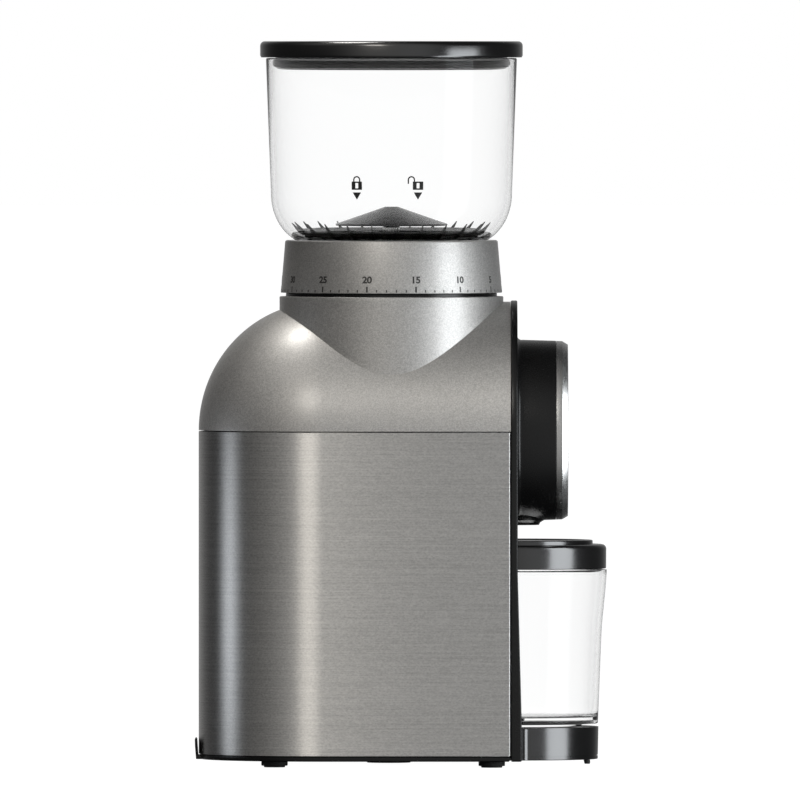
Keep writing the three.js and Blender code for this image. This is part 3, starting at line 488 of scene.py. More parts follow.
def solder_mask():
    """Green board with lighter tracks and tinned pads."""
    looks = Looks("circuit_board")
    tracks = looks.fill(looks.add("ShaderNodeTexBrick", offset=0.5), Vector=looks.place, Scale=140.0,
                        Mortar_Size=0.06, Color1=(0, 0, 0, 1), Color2=(0, 0, 0, 1), Mortar=(1, 1, 1, 1))
    amount = looks.times(tracks.outputs["Fac"], looks.between(looks.noise(6), 0, 1))
    looks.fill(
        looks.shader,
        Base_Color=looks.tint(amount, (0.012, 0.09, 0.035), (0.06, 0.26, 0.11)),
        Roughness=looks.between(looks.noise(1.2), 0.3, 0.45),
        Normal=looks.bump(amount, 0.03),
    )
    return looks.material


def build_looks():
    return {
        "black_plastic": moulded("black_plastic", (0.005, 0.005, 0.005), 0.2, 0.55, 0.003,
                                 spread=0.04, IOR=2.0),
        "satin_black": moulded("satin_black", (0.005, 0.005, 0.005), 0.26, 0.4, 0.005, spread=0.04, IOR=1.46),
        "rubber": moulded("rubber", (0.012, 0.012, 0.012), 0.72, 0.35, 0.03),
        "brushed_steel": brushed_steel(),
        "metallic_paint": metallic_paint(),
        "ring_metal": bezel_metal(),
        "lens_black": moulded("lens_black", (0.006, 0.006, 0.007), 0.06, 2.0, 0.002, spread=0.03),
        "button_grey": moulded("button_grey", (0.2, 0.2, 0.2), 0.4, 0.4, 0.012),
        "circuit_board": solder_mask(),
        "gear_steel": metal("gear_steel", (0.58, 0.58, 0.57), 0.26, 0.15, (1, 1, 8)),
        "gear_nylon": moulded("gear_nylon", (0.72, 0.69, 0.61), 0.42, 0.5, 0.02, vary=0.05,
                              Subsurface_Weight=0.15, Subsurface_Scale=0.002),
        "inner_grey": moulded("inner_grey", (0.13, 0.13, 0.13), 0.5, 0.6, 0.03),
        "burr_steel": metal("burr_steel", (0.42, 0.42, 0.42), 0.3, 0.2, (6, 6, 1)),
        "motor_steel": metal("motor_steel", (0.5, 0.5, 0.49), 0.38, 0.4, (8, 8, 1)),
        "magnet": moulded("magnet", (0.05, 0.05, 0.052), 0.6, 0.3, 0.03),
        "copper_winding": metal("copper_winding", (0.62, 0.27, 0.12), 0.3, 0.5, (1, 1, 6), depth=0.15),
        "clear_plastic": clear_plastic(),
        "print_black": moulded("print_black", (0.012, 0.012, 0.012), 0.55, 0.2, 0.004),
        "print_grey": moulded("print_grey", (0.045, 0.044, 0.042), 0.5, 0.2, 0.004),
    }


LOOKS = build_looks()


# ---------------------------------------------------------------- base, feet and inlet
def base():
    low, high = span("base_plate")
    top = WRAP_LOW.z - 0.3
    inset = BODY_HALF - high.y
    lip = inset + 1.6
    levels = [(low.z, inset + 0.7), (low.z + 0.45, inset + 0.15), (low.z + 1, inset), (top - 0.3, inset),
              (top, inset + 0.25), (top, lip), (high.z - 4.4, lip)]
    plate = loft("base", [[(x, y, z) for x, y in plan(step, BODY_FRONT - step)] for z, step in levels])
    hook_top = high.z
    hook_half = 11
    hook_foot = low.z + 0.1
    face = low.x
    root = face + 3.5
    hook = crosswise("hook", rounded([
        (root, hook_foot), (root, top - 0.3), (face + 1.6, top - 0.3, 0.4), (face + 1.1, hook_top - 0.6),
        (face + 0.5, hook_top, 0.3), (face, hook_top - 0.8, 0.3), (face + 0.1, hook_top - 4, 2),
        (face + 0.6, hook_foot, 0.4),
    ]), -hook_half, hook_half)
    soften(hook, 0.5, 3, 60)
    stand = radius_of("cup_stand") + 0.5
    inlet = radius_of("cord_inlet") + 0.3
    inlet_x = middle_x("cord_inlet")
    return cut(
        join(plate, hook),
        rod("stand_hole", stand, -PAST, high.z + PAST, CUP_X),
        rod("inlet_hole", inlet, -PAST, span("cord_inlet")[0].z + 1.7, inlet_x, segments=MEDIUM),
        rod("inlet_neck", inlet - 2.4, -PAST, high.z + PAST, inlet_x, segments=MEDIUM),
    )


def foot(name, node):
    low, high = span(node)
    radius = radius_of(node)
    sole = radius - 1.3
    stem = 2.5
    shoulder = 2.8
    groove = low.z + 0.35
    return lathe(name, rounded([
        (0, low.z), (sole - 1.6, low.z), (sole - 1.4, groove), (sole - 0.9, groove), (sole - 0.7, low.z),
        (sole, low.z, 0.25), (sole + 0.1, low.z + 0.7, 0.1), (radius, low.z + 0.75, 0.4),
        (radius, shoulder, 0.3), (stem, shoulder), (stem, high.z), (0, high.z),
    ]), middle_x(node), 0, SMALL)


def build_base():
    finish_piece(base(), "housing", "black_plastic", "base_plate", look="satin_black")
    for place in ("front_left", "front_right", "rear_left", "rear_right"):
        node = "foot_" + place
        low, high = span(node)
        piece = foot("rubber_" + node, node)
        piece.data.transform(Matrix.Translation((0, (low.y + high.y) / 2, 0)))
        finish_piece(piece, "housing", "rubber", node)
    low, high = span("centre_pad")
    radius = radius_of("centre_pad")
    pad = lathe("rubber_centre_pad", rounded([
        (0, low.z), (radius, low.z, 0.4), (radius, high.z, 0.1), (0, high.z),
    ]), middle_x("centre_pad"), 0, MEDIUM)
    finish_piece(pad, "housing", "rubber", "centre_pad")
    low, high = span("cord_inlet")
    radius = radius_of("cord_inlet")
    bore = 3.6
    inlet = lathe("cord_inlet_grommet", rounded([
        (bore, low.z, 0.6), (radius, low.z, 0.5), (radius, low.z + 1.5, 0.3), (radius - 2.4, low.z + 1.5),
        (radius - 2.4, high.z - 3, 0.5), (radius - 4, high.z, 0.4), (bore, high.z, 0.4),
    ]), middle_x("cord_inlet"), 0, MEDIUM)
    finish_piece(inlet, "housing", "rubber", "cord_inlet")
    for side in ("left", "right"):
        node = "stand_foot_" + side
        low, high = span(node)
        radius = radius_of(node)
        nub = lathe("rubber_" + node, rounded([
            (0, low.z), (radius, low.z, 0.5), (radius, high.z), (0, high.z)]), middle_x(node), 0, SMALL)
        nub.data.transform(Matrix.Translation((0, (low.y + high.y) / 2, 0)))
        finish_piece(nub, "housing", "rubber", node)


# ---------------------------------------------------------------- cup stand
def stand_fillet(side, low, high, radius):
    """The hollow corner where the round stand runs into the panel."""
    face = span("front_panel")[1].x
    corner = 4.4
    hollow = arc(10, 180, 90, lambda t: (
        face + corner + corner * math.cos(t), side * (radius + corner - corner * math.sin(t))))
    outline = [(face - 1.2, side * (radius + corner)), *hollow, (face + corner, side * (radius - 6)),
               (face - 1.2, side * (radius - 6))]
    return upright("fillet", outline, low + 0.2, high - 0.5)


def build_stand():
    low, high = span("cup_stand")
    radius = radius_of("cup_stand")
    groove = low.z + 1.75
    recess = radius_of("cup_base_pad") + 2.2
    stand = lathe("stand", rounded([
        (0, low.z), (radius - 0.3, low.z, 0.4), (radius - 0.25, groove - 0.25), (radius - 0.7, groove - 0.2),
        (radius - 0.7, groove + 0.2), (radius - 0.25, groove + 0.25), (radius, high.z, 0.8),
        (recess, high.z, 0.3), (recess - 0.6, high.z - 0.5, 0.3), (0, high.z - 0.5),
    ]), CUP_X)
    stand = join(stand, *[stand_fillet(side, low.z, high.z, radius) for side in (-1, 1)])
    finish_piece(stand, "housing", "black_plastic", "cup_stand")


# ---------------------------------------------------------------- steel wrap
def build_wrap():
    """One bent sheet round the sides and back, with its front edges turned in."""
    sheet = 0.8
    turn = 1.1
    steps = 72
    top = WRAP_HIGH.z - 0.2
    levels = [(WRAP_LOW.z, 0.16), (WRAP_LOW.z + 0.16, 0), (top - 0.16, 0), (top, 0.16)]

    def path(half, front):
        back = arc(steps, -90, -270, lambda t: (BACK_X + half * math.cos(t), half * math.sin(t)))
        return [(front, -half), *back, (front, half)]

    lip = BODY_HALF - 2.2         # where the turned-in edge ends
    hem = BODY_HALF - 1.3
    loops = []
    for z, inset in levels:
        outer = path(BODY_HALF - inset, BODY_FRONT)
        inner = path(BODY_HALF - sheet + inset * 0.5, BODY_FRONT)
        first = arc(6, 0, 90, lambda t: (
            BODY_FRONT - turn + turn * math.cos(t), -(BODY_HALF - inset - turn + turn * math.sin(t))))
        last = [(x, -y) for x, y in reversed(first)]
        outline = [*first, *outer[1:-1], *last, (BODY_FRONT - 0.1, lip), (BODY_FRONT - 0.9, lip),
                   (BODY_FRONT - 1, hem), *reversed(inner[1:-1]), (BODY_FRONT - 1, -hem),
                   (BODY_FRONT - 0.9, -lip), (BODY_FRONT - 0.1, -lip)]
        loops.append([(x, y, z) for x, y in outline])
    finish_piece(loft("body_wrap", loops), "housing", "brushed_steel", "steel_wrap")


# ---------------------------------------------------------------- upper housing
def bullet(name, inset, front, steps=48):
    """Half a capsule lying along X, round at the back, with its height a little over its half width."""
    radius = BODY_HALF - inset
    height = DOME_TOP - SEAM_Z - inset
    back = arc(steps, 0, 90, lambda t: (radius * math.sin(t), -radius * math.cos(t)))
    side = [(radius, (front - BACK_X) * i / steps) for i in range(1, steps + 1)]
    profile = [*back, *side, (0, front - BACK_X)]
    shell = lathe(name, profile, BACK_X, 0, 192, lying=True)
    shell.data.transform(Matrix.Diagonal((1, 1, height / radius, 1)))
    shell.data.transform(Matrix.Translation((0, 0, SEAM_Z - 0.15)))
    return shell


def build_dome():
    wall = 2.5
    deck = 2.5
    collar = 52.6
    bore = 50.2
    neck = 49.6
    throat = 47
    neck_top = RING_LOW.z - 0.15
    dome = bullet("dome", 0, BODY_FRONT)
    steps = 40
    side = [(collar, SEAM_Z + (COLLAR_TOP - 1 - SEAM_Z) * i / steps) for i in range(steps)]
    collar_top = lathe("collar", rounded([
        (0, SEAM_Z - PAST), (collar, SEAM_Z - PAST), *side, (collar, COLLAR_TOP, 0.45), (neck, COLLAR_TOP),
        (0, COLLAR_TOP)]), BURR_X)
    join(dome, collar_top)
    cut(dome, bullet("hollow", wall, BODY_FRONT + PAST))
    cut(dome, rod("collar_bore", bore, SEAM_Z - 2 * PAST, COLLAR_TOP - deck, BURR_X))
    cut(dome, rod("throat", neck - 0.6, SEAM_Z, COLLAR_TOP + PAST, BURR_X))
    cut(dome, block("below", (-FAR, -FAR, -FAR), (FAR, FAR, SEAM_Z)))
    finish_piece(dome, "housing", "metallic_paint", "upper_housing", sharp=12)
    # The neck between the collar and the grind ring is a real part, made satin black as painted shade for the
    # narrow gap under the ring.
    sleeve = lathe("collar_neck_painted_shade", rounded([
        (throat, COLLAR_TOP - deck), (neck - 0.6, COLLAR_TOP - deck), (neck - 0.6, COLLAR_TOP - 0.2),
        (neck, COLLAR_TOP - 0.2), (neck, neck_top, EDGE), (throat, neck_top, EDGE)]), BURR_X)
    finish_piece(sleeve, "housing", "black_plastic", look="satin_black")


# ---------------------------------------------------------------- front panel and cup bay
def build_panel():
    low, high = span("front_panel")
    flare = high.x - PANEL_FACE
    edge = 0.6
    bay_low, bay_high = span("cup_bay")
    bay = 44.5
    bay_floor = bay_low.z + 1.8
    bay_ceiling = bay_high.z - 1.8

    slab = crosswise("panel", [
        (low.x, 0), (PANEL_FACE + flare, 0), (PANEL_FACE + flare, FLARE_FOOT), (PANEL_FACE, FLARE_TOP),
        (PANEL_FACE, FAR), (low.x, FAR)], -FAR, FAR)
    outline = loft("arch", [[(x, y, z) for y, z in arch()] for x in (low.x - PAST, high.x + PAST)])
    panel = soften(combine("INTERSECT", slab, outline), edge, 4, 50)
    spout = radius_of("spout") + 0.6
    stand = radius_of("cup_stand") + 0.5
    chute = 11.5
    cut(
        panel,
        lathe("bay_cut", rounded([
            (0, bay_floor), (bay, bay_floor, 0.8), (bay, bay_ceiling, 1.6), (0, bay_ceiling)]), CUP_X),
        rod("stand_cut", stand, 0, bay_floor + 1, CUP_X),
        block("chute_cut", (low.x - PAST, -chute, bay_ceiling - 1), (PANEL_FACE + PAST, chute, 200)),
        rod("spout_cut", spout, bay_ceiling - 1, span("spout")[1].z + 1, CUP_X, segments=MEDIUM),
    )
    finish_piece(panel, "housing", "black_plastic", "front_panel", look="satin_black")
    wall = 1.8
    lining = bay + 0.1
    outer = lining + wall
    liner = lathe("bay_liner", rounded([
        (stand, bay_low.z), (outer, bay_low.z, 1), (outer, bay_high.z, 1), (spout, bay_high.z),
        (spout, bay_ceiling), (lining, bay_ceiling, 1.6), (lining, bay_floor, 0.8), (stand, bay_floor),
    ]), CUP_X)
    cut(liner, block("front", (low.x - 0.3, -FAR, -FAR), (FAR, FAR, FAR)))
    finish_piece(liner, "housing", "black_plastic", "cup_bay", look="satin_black")


# ---------------------------------------------------------------- spout and pod
def spout_outline(bore, grown=0.0, drop=0.0):
    """The nozzle's closed outline: it flares out into the underside of the pod, then narrows to a plain tube.
    grown and drop make it wider and longer."""
    low, high = span("spout")
    tube = radius_of("spout") + grown
    foot = low.z - drop
    mouth = 10.4 + grown
    lip = 10.9 + grown
    bell = 12.9 + grown
    flare = 16 + grown
    return rounded([
        (bore, foot, 0.4), (mouth, foot, 0.3), (lip, low.z + 1.2, 1), (bell, low.z + 2.3, 1),
        (flare, low.z + 5.2), (flare, low.z + 5.8 + grown), (tube, low.z + 6.4 + grown),
        (tube, high.z + drop), (bore, high.z + drop)])


def build_spout():
    low, high = span("spout")
    spout = lathe("spout_nozzle", spout_outline(8.2), CUP_X, 0, MEDIUM)
    behind = block("behind_flare", (-FAR, -FAR, low.z - PAST), (PANEL_FACE + 0.15, FAR, high.z + PAST))
    tube = rod("tube", radius_of("spout"), low.z - 2 * PAST, high.z + 2 * PAST, CUP_X, segments=MEDIUM)
    cut(spout, cut(behind, tube))
    finish_piece(spout, "housing", "black_plastic", "spout")


def build_pod():
    back, front = span("pod_housing")
    depth = front.x - back.x
    radius = radius_of("pod_housing")
    taper = 0.45
    cove = 1.9
    wall = 2.2
    mouth = 30.2
    hollow = arc(6, 270, 180, lambda t: (radius + cove + cove * math.cos(t), cove + cove * math.sin(t)))
    lip = depth + 0.2
    profile = [(radius - wall, 0.0), *hollow,
               *rounded([(radius, cove + 1), (radius - taper, lip, 0.2), (mouth, lip, 0.2),
                         (mouth, depth - wall), (radius - wall - taper, depth - wall), (radius - wall, 6)])]
    pod = lathe("pod", profile, back.x, POD_Z, lying=True)
    cut(pod, lathe("spout_cut", spout_outline(0, 0.12, PAST), CUP_X, 0, MEDIUM))
    finish_piece(pod, "housing", "black_plastic", "pod_housing", look="satin_black")


def build_selector():
    low, high = span("selector_ring")
    radius = radius_of("selector_ring")
    depth = high.x - low.x
    chamfer = 2.7
    bore = 33.9
    groove = 0.25
    ring = lathe("selector", rounded([
        (bore, 0, 0.2), (radius, 0, 0.12), (radius - 0.1, depth - chamfer, 0.3), (radius - 1.7, depth, 0.35),
        (radius - 4, depth, 0.1), (radius - 4.2, depth - groove), (radius - 4.6, depth - groove),
        (radius - 4.8, depth, 0.1), (bore + 1.3, depth, 0.3), (bore, depth - 1.3, 0.3)]),
        low.x, POD_Z, 192, lying=True)
    finish_piece(ring, "selector", "ring_metal", "selector_ring")


def build_pod_face():
    low, high = span("pod_face")
    lens_low, lens_high = span("display_lens")
    button_low, button_high = span("start_button")
    button_z = (button_low.z + button_high.z) / 2
    button = 8.8
    hole = button + 0.4
    face_radius = radius_of("pod_face")
    lip = 6.4

    def button_hole():
        return rod("hole", hole, low.x - PAST, high.x + PAST, 0, button_z, MEDIUM, lying=True)

    face = lathe("pod_plate", rounded([
        (0, lip), (27.4, lip), (27.4, 0), (29.8, 0), (29.8, lip), (face_radius, lip),
        (face_radius, high.x - low.x, 0.3), (0, high.x - low.x)]), low.x, POD_Z, lying=True)
    finish_piece(cut(face, button_hole()), "housing", "black_plastic", "pod_face", look="satin_black")
    window = radius_of("display_lens")
    thickness = lens_high.x - lens_low.x
    lens = lathe("display_window", rounded([
        (0, 0), (window, 0, 0.2), (window, thickness, 0.5), (0, thickness)]), lens_low.x, POD_Z, lying=True)
    finish_piece(cut(lens, button_hole()), "housing", "lens_black", "display_lens")
    depth = button_high.x - button_low.x
    flange = radius_of("start_button")
    dish = 0.35
    key = lathe("start_key", [
        *rounded([(3, 0), (3, 2.2), (flange, 2.2, 0.3), (flange, 3.9, 0.3), (button, 3.9),
                  (button, depth, 0.6), (button - 1.8, depth)]),
        *[(button - 2.4 - k, depth - dish * (1 - (1 - (k + 0.6) / 7) ** 2)) for k in range(6)],
        (0, depth - dish), (0, 0)], button_low.x, button_z, MEDIUM, lying=True)
    finish_piece(key, "start_button", "button_grey", "start_button")


# ---------------------------------------------------------------- grind ring and its scale
SCALE_ZERO = 89.8             # degrees from the right-hand side (-Y) toward the front
SCALE_STEP = 5.13
SCALE_LAST = 50
RING_FOOT = 52                # the ring's radius at its foot and at its head
RING_HEAD = 49.9


def ring_surface(z):
    share = (z - RING_LOW.z) / (RING_HIGH.z - RING_LOW.z)
    return RING_FOOT + (RING_HEAD - RING_FOOT) * share


def wrap_round(thing, degrees, surface, base_z):
    """Bends a flat drawing, x along the girth and y up, onto a turned surface about the burr axis."""
    for vertex in thing.data.vertices:
        x, y, lift = vertex.co
        z = base_z + y
        radius = surface(z) + lift
        angle = math.radians(degrees) + x / surface(z)
        vertex.co = (BURR_X + radius * math.sin(angle), -radius * math.cos(angle), z)
    return thing


def drawn(name, splines):
    """A flat closed drawing with holes, a thin solid through z = 0."""
    curve = bpy.data.curves.new(name, "CURVE")
    curve.dimensions = "2D"
    curve.fill_mode = "BOTH"
    curve.extrude = PRINT
    for points in splines:
        spline = curve.splines.new("POLY")
        spline.points.add(len(points) - 1)
        spline.use_cyclic_u = True
        for target, (x, y) in zip(spline.points, points):
            target.co = (x, y, 0, 1)
    return to_mesh(curve, name)


def to_mesh(curve, name):
    holder = show(name, curve)
    bpy.context.view_layer.update()
    graph = bpy.context.evaluated_depsgraph_get()
    mesh = bpy.data.meshes.new_from_object(holder.evaluated_get(graph))
    bpy.data.objects.remove(holder)
    return show(name, cleaned(mesh))


def digits(text, height, widen=1.12):
    font = bpy.data.curves.new(text, "FONT")
    font.body = text
    font.size = height / 0.7
    font.align_x = "CENTER"
    font.extrude = PRINT
    font.offset = 0.15
    font.space_character = 0.95
    font.resolution_u = 4
    number = to_mesh(font, "digits")
    number.data.transform(Matrix.Diagonal((widen, 1, 1, 1)))
    return number


def rectangle(x, y, width, height):
    return [(x - width / 2, y), (x + width / 2, y), (x + width / 2, y + height), (x - width / 2, y + height)]


def build_ring():
    foot_radius = radius_of("grind_ring")
    bore = 46.6
    ring = lathe("dial_ring", rounded([
        (bore, RING_LOW.z, 0.4), (foot_radius, RING_LOW.z, 0.15), (RING_HEAD, RING_HIGH.z, 1.1),
        (bore + 1.4, RING_HIGH.z, 0.6), (bore, RING_HIGH.z - 1.6, 0.5)]), BURR_X, segments=LARGE)
    finish_piece(ring, "grind_ring", "metallic_paint", "grind_ring")
    marks = []
    for setting in range(SCALE_LAST + 1):
        major = setting % 5 == 0
        turn = SCALE_ZERO - SCALE_STEP * setting
        tick = drawn("tick", [rectangle(0, 0, 0.8 if major else 0.55, 2.7 if major else 1.2)])
        marks.append(wrap_round(tick, turn, ring_surface, RING_LOW.z + 0.45))
        if major:
            number = digits(str(setting), 3)
            marks.append(wrap_round(number, turn, ring_surface, RING_LOW.z + 4.9))
    finish_piece(merge("ring_scale", marks), "grind_ring", "black_plastic", look="print_grey")
    for name, node, slot, body in (
        ("sleeve", "ring_sleeve", "inner_grey", "grind_ring"),
        ("seat_gasket", "hopper_gasket", "rubber", "hopper_seat"),
    ):
        low, high = span(node)
        outer = radius_of(node)
        inner = 41 if node == "ring_sleeve" else 41.5
        part = lathe(name, rounded([
            (inner, low.z, EDGE), (outer, low.z, EDGE), (outer, high.z, EDGE), (inner, high.z, EDGE),
        ]), BURR_X)
        finish_piece(part, body, slot, node)


# ---------------------------------------------------------------- hopper
SHOULDER_RISE = 21.8          # from the bowl's foot up to its shoulder
BOWL_TAPER = 2.4              # the shoulder is this much narrower than the rim
CURVE_ACROSS = 20.2           # the quarter ellipse under the shoulder
CURVE_DOWN = 24


def bowl_outline(inset, low):
    """The bowl's side from its rim down to height low: a straight taper into a quarter ellipse."""
    rim_low, rim = span("hopper_bowl")
    rim_radius = radius_of("hopper_bowl")
    shoulder_z = rim_low.z + SHOULDER_RISE
    shoulder = rim_radius - BOWL_TAPER
    across, down = CURVE_ACROSS - inset, CURVE_DOWN - inset
    lowest = math.degrees(math.asin(min(1, (shoulder_z - low) / down)))
    bottom = arc(18, 0, lowest, lambda t: (
        shoulder - CURVE_ACROSS + across * math.cos(t), shoulder_z - down * math.sin(t)))
    return [(rim_radius - inset, rim.z), *bottom]


def bowl_surface(z):
    rim_low, rim = span("hopper_bowl")
    shoulder_z = rim_low.z + SHOULDER_RISE
    rim_radius = radius_of("hopper_bowl")
    if z > shoulder_z:
        return rim_radius - BOWL_TAPER * (rim.z - z) / (rim.z - shoulder_z)
    inward = math.sqrt(1 - ((shoulder_z - z) / CURVE_DOWN) ** 2)
    return rim_radius - BOWL_TAPER - CURVE_ACROSS + CURVE_ACROSS * inward


def padlock(is_open):
    """A padlock over a triangle that points down. The open one has its shackle swung to the left."""
    width, height = 5.0, 3.9
    foot = 4.6
    bow, stroke = 1.75, 0.62
    shift = -3.2 if is_open else 0
    top = foot + height
    bow_z = top + 0.8
    leg = bow_z - 1.9 if is_open else top - 0.2
    outer = arc(14, 0, 180, lambda t: (shift + bow * math.cos(t), bow_z + bow * math.sin(t)))
    inner = arc(14, 180, 0, lambda t: (
        shift + (bow - stroke) * math.cos(t), bow_z + (bow - stroke) * math.sin(t)))
    shackle = [(shift + bow, top - 0.2), *outer, (shift - bow, leg), (shift - bow + stroke, leg), *inner,
               (shift + bow - stroke, top - 0.2)]
    half = width / 2
    hole = 0.7
    case = rounded([(-half, foot, 0.2), (half, foot, 0.2), (half, top, 0.3), (-half, top, 0.3)])
    keyhole = rounded([(-hole, foot + hole, 0.2), (hole, foot + hole, 0.2), (hole, top - hole, 0.2),
                       (-hole, top - hole, 0.2)])
    pointer = [(-2.05, 3.4), (2.05, 3.4), (0, 0)]
    return [drawn("case", [case, keyhole]), drawn("shackle", [shackle]), drawn("pointer", [pointer])]


def build_hopper():
    low, high = span("hopper_bowl")
    wall = 2.2
    lip = 38.6
    outside = bowl_outline(0, low.z)
    inside = bowl_outline(wall, low.z + 0.9)
    rim = rounded([(outside[1][0], outside[1][1]), (outside[0][0], high.z, 0.7), (inside[0][0], high.z, 0.7),
                   (inside[1][0], inside[1][1])])[1:-1]
    profile = [(lip, low.z), *reversed(outside[1:]), *rim, *inside[1:], (lip, low.z + 0.9)]
    bowl = lathe("bean_hopper", profile, BURR_X, segments=LARGE)
    finish_piece(bowl, "hopper", "clear_plastic", "hopper_bowl", sharp=40)
    marks = []
    for degrees, is_open in ((-16.6, False), (12.7, True)):
        marks += [wrap_round(part, degrees, bowl_surface, low.z + 19.5) for part in padlock(is_open)]
    finish_piece(merge("lock_marks", marks), "hopper", "black_plastic", look="print_black")
    low, high = span("hopper_collar")
    outer = radius_of("hopper_collar")
    throat = 36
    collar = lathe("hopper_base", rounded([
        (throat, low.z, 0.4), (outer, low.z, 0.4), (outer, high.z, 0.3), (outer - 2.8, high.z, 0.3),
        (outer - 2.8, low.z + 5, 1), (throat, low.z + 2.4, 0.5)]), BURR_X)
    finish_piece(collar, "hopper", "black_plastic", "hopper_collar")


FIN_COUNT = 24
FIN_OFFSET = 3.5


def fin(turn):
    """One thin blade of the guard, thicker at its foot than at its tip."""
    low, high = span("bean_guard")
    tip = radius_of("bean_guard")
    outline = [(37.4, low.z + 0.9), (40.4, low.z + 0.9), (43.9, low.z + 2.9), (tip - 0.3, high.z - 0.05),
               (tip - 0.8, high.z - 0.1), (43, low.z + 4.6), (37.4, low.z + 2.2)]
    thick = [0.4, 0.4, 0.36, 0.1, 0.1, 0.3, 0.4]
    loops = [[(x, side * half, z) for (x, z), half in zip(outline, thick)] for side in (-1, 1)]
    blade = loft("fin", loops)
    blade.data.transform(Matrix.Translation((BURR_X, 0, 0)) @ Matrix.Rotation(math.radians(turn), 4, "Z"))
    return blade


def build_guard():
    low, high = span("bean_guard")
    foot_radius = 35.6
    step = 38.3
    band_height = 2.5
    band = lathe("bean_crown", rounded([
        (foot_radius, low.z), (step, low.z), (step, low.z + 0.9), (43.2, low.z + 3.6, 0.2),
        (42.6, low.z + 4.4, 0.2), (37.6, low.z + band_height, 0.8), (foot_radius, low.z + band_height),
    ]), BURR_X)
    hub = 6
    hub_top = low.z + 2.4
    parts = [rod("hub", hub, low.z, hub_top, BURR_X, segments=SMALL)]
    for turn in (0, 120, 240):
        spoke = block("spoke", (hub - 1, -1.5, low.z), (foot_radius + 1, 1.5, hub_top))
        spoke.data.transform(Matrix.Translation((BURR_X, 0, 0)) @ Matrix.Rotation(math.radians(turn), 4, "Z"))
        parts.append(spoke)
    parts += [fin(360 * i / FIN_COUNT + FIN_OFFSET) for i in range(FIN_COUNT)]
    join(band, *parts)
    cut(band, rod("screw_hole", 2.1, low.z - PAST, low.z + band_height + PAST, BURR_X, segments=SMALL))
    finish_piece(band, "hopper", "black_plastic", "bean_guard", look="satin_black", sharp=20)
    low, high = span("guard_cone")
    radius = radius_of("guard_cone")
    socket = 2.1
    cone = lathe("bean_cone", rounded([
        (0, low.z + 4.5), (socket, low.z + 4.5), (socket, low.z), (socket + 3, low.z),
        (socket + 3, low.z + 0.8, 0.3), (radius - 1.2, low.z + 0.2, 0.3), (radius, low.z, 0.2),
        (radius, low.z + 0.9, 0.4), (3, high.z, 2.5), (0, high.z)]), BURR_X)
    finish_piece(cone, "hopper", "black_plastic", "guard_cone", look="satin_black")
    low, high = span("guard_screw")
    head = radius_of("guard_screw")
    shank = 1.8
    head_low, head_high = low.z + 2.4, low.z + 5.6
    screw = lathe("cone_screw", rounded([
        (0, low.z), (shank, low.z, 0.3), (shank, head_low), (head, head_low, 0.3), (head, head_high, 0.6),
        (shank, head_high), (shank, high.z, 0.3), (0, high.z)]), BURR_X, 0, SMALL)
    finish_piece(screw, "hopper", "gear_steel", "guard_screw")


def build_lid():
    low, high = span("hopper_lid")
    radius = radius_of("hopper_lid")
    bottom = span("hopper_bowl")[1].z + 0.3
    plug = 54.4
    wall = 2.2
    roof = high.z - 2.8
    well = radius - 4.5
    lid = lathe("lid", [*rounded([
        (0, roof), (plug - wall, roof, 1), (plug - wall, low.z, 0.5), (plug, low.z, 0.5), (plug, bottom, 0.5),
        (radius - 0.5, bottom, 0.3), (radius, bottom + 0.9, 0.5), (radius, high.z, 2.1), (well, high.z, 0.6),
        (well - 0.9, high.z - 0.6, 0.5), (well - 3, high.z - 0.62)]), (0, high.z - 0.35)],
        BURR_X, segments=LARGE)
    finish_piece(lid, "lid", "black_plastic", "hopper_lid")
    low, high = span("lid_seal")
    outer = radius_of("lid_seal")
    seal = lathe("lid_gasket", rounded([
        (plug + 0.2, low.z, 0.2), (outer - 0.8, low.z, 0.3), (outer, middle_z("lid_seal"), 0.4),
        (outer - 0.8, high.z, 0.3), (plug + 0.2, high.z, 0.2)]), BURR_X)
    finish_piece(seal, "lid", "rubber", "lid_seal")


# ---------------------------------------------------------------- cup
def cup_radius(z):
    """The cup's outside: a slow taper with a gentle swell under the lid."""
    base_radius = 38.1
    taper = 0.0385
    swell = 1.38
    share = min(1, max(0, (z - 60) / 32))
    return base_radius + taper * (z - 21) + swell * share * share * (3 - 2 * share)


def build_cup():
    low, high = span("cup")
    wall = 2
    floor = low.z + 1.9
    shoulder = 91.9
    rim = 39.9
    heights = [low.z + 1.6 + (shoulder - low.z - 1.6) * i / 24 for i in range(25)]
    outside = [(cup_radius(z), z) for z in heights]
    inside = [(cup_radius(z) - wall, z) for z in reversed(heights) if z > floor + wall + 3]
    recess = 36.6
    profile = rounded([
        (0, floor), (recess, floor, 0.3), (recess, low.z, 0.3), (cup_radius(low.z), low.z, 1.4), *outside,
        (rim, shoulder + 0.2, 0.2), (rim, high.z, 0.6), (rim - wall, high.z, 0.6), *inside,
        (cup_radius(floor) - wall, floor + 1.2, 2.6), (0, floor + 1.2)])
    cup = lathe("grounds_cup", profile, CUP_X, segments=LARGE)
    finish_piece(cup, "cup", "clear_plastic", "cup", sharp=40)
    step = low.z + 0.1
    low, high = span("cup_base_pad")
    radius = radius_of("cup_base_pad")
    foot_radius = 30.4
    top = floor - 0.1
    pad = lathe("cup_foot_pad", rounded([
        (0, step), (radius, step, 0.2), (radius, top, 0.3), (0, top)]), CUP_X)
    finish_piece(pad, "cup", "rubber", "cup_base_pad")
    foot_inside = foot_radius - 2.4
    ring = lathe("cup_foot_ring", rounded([
        (foot_inside, low.z, 0.2), (foot_radius, low.z, 0.2), (foot_radius, step - 0.05),
        (foot_inside, step - 0.05)]), CUP_X)
    finish_piece(ring, "cup", "clear_plastic", "cup_base_pad")


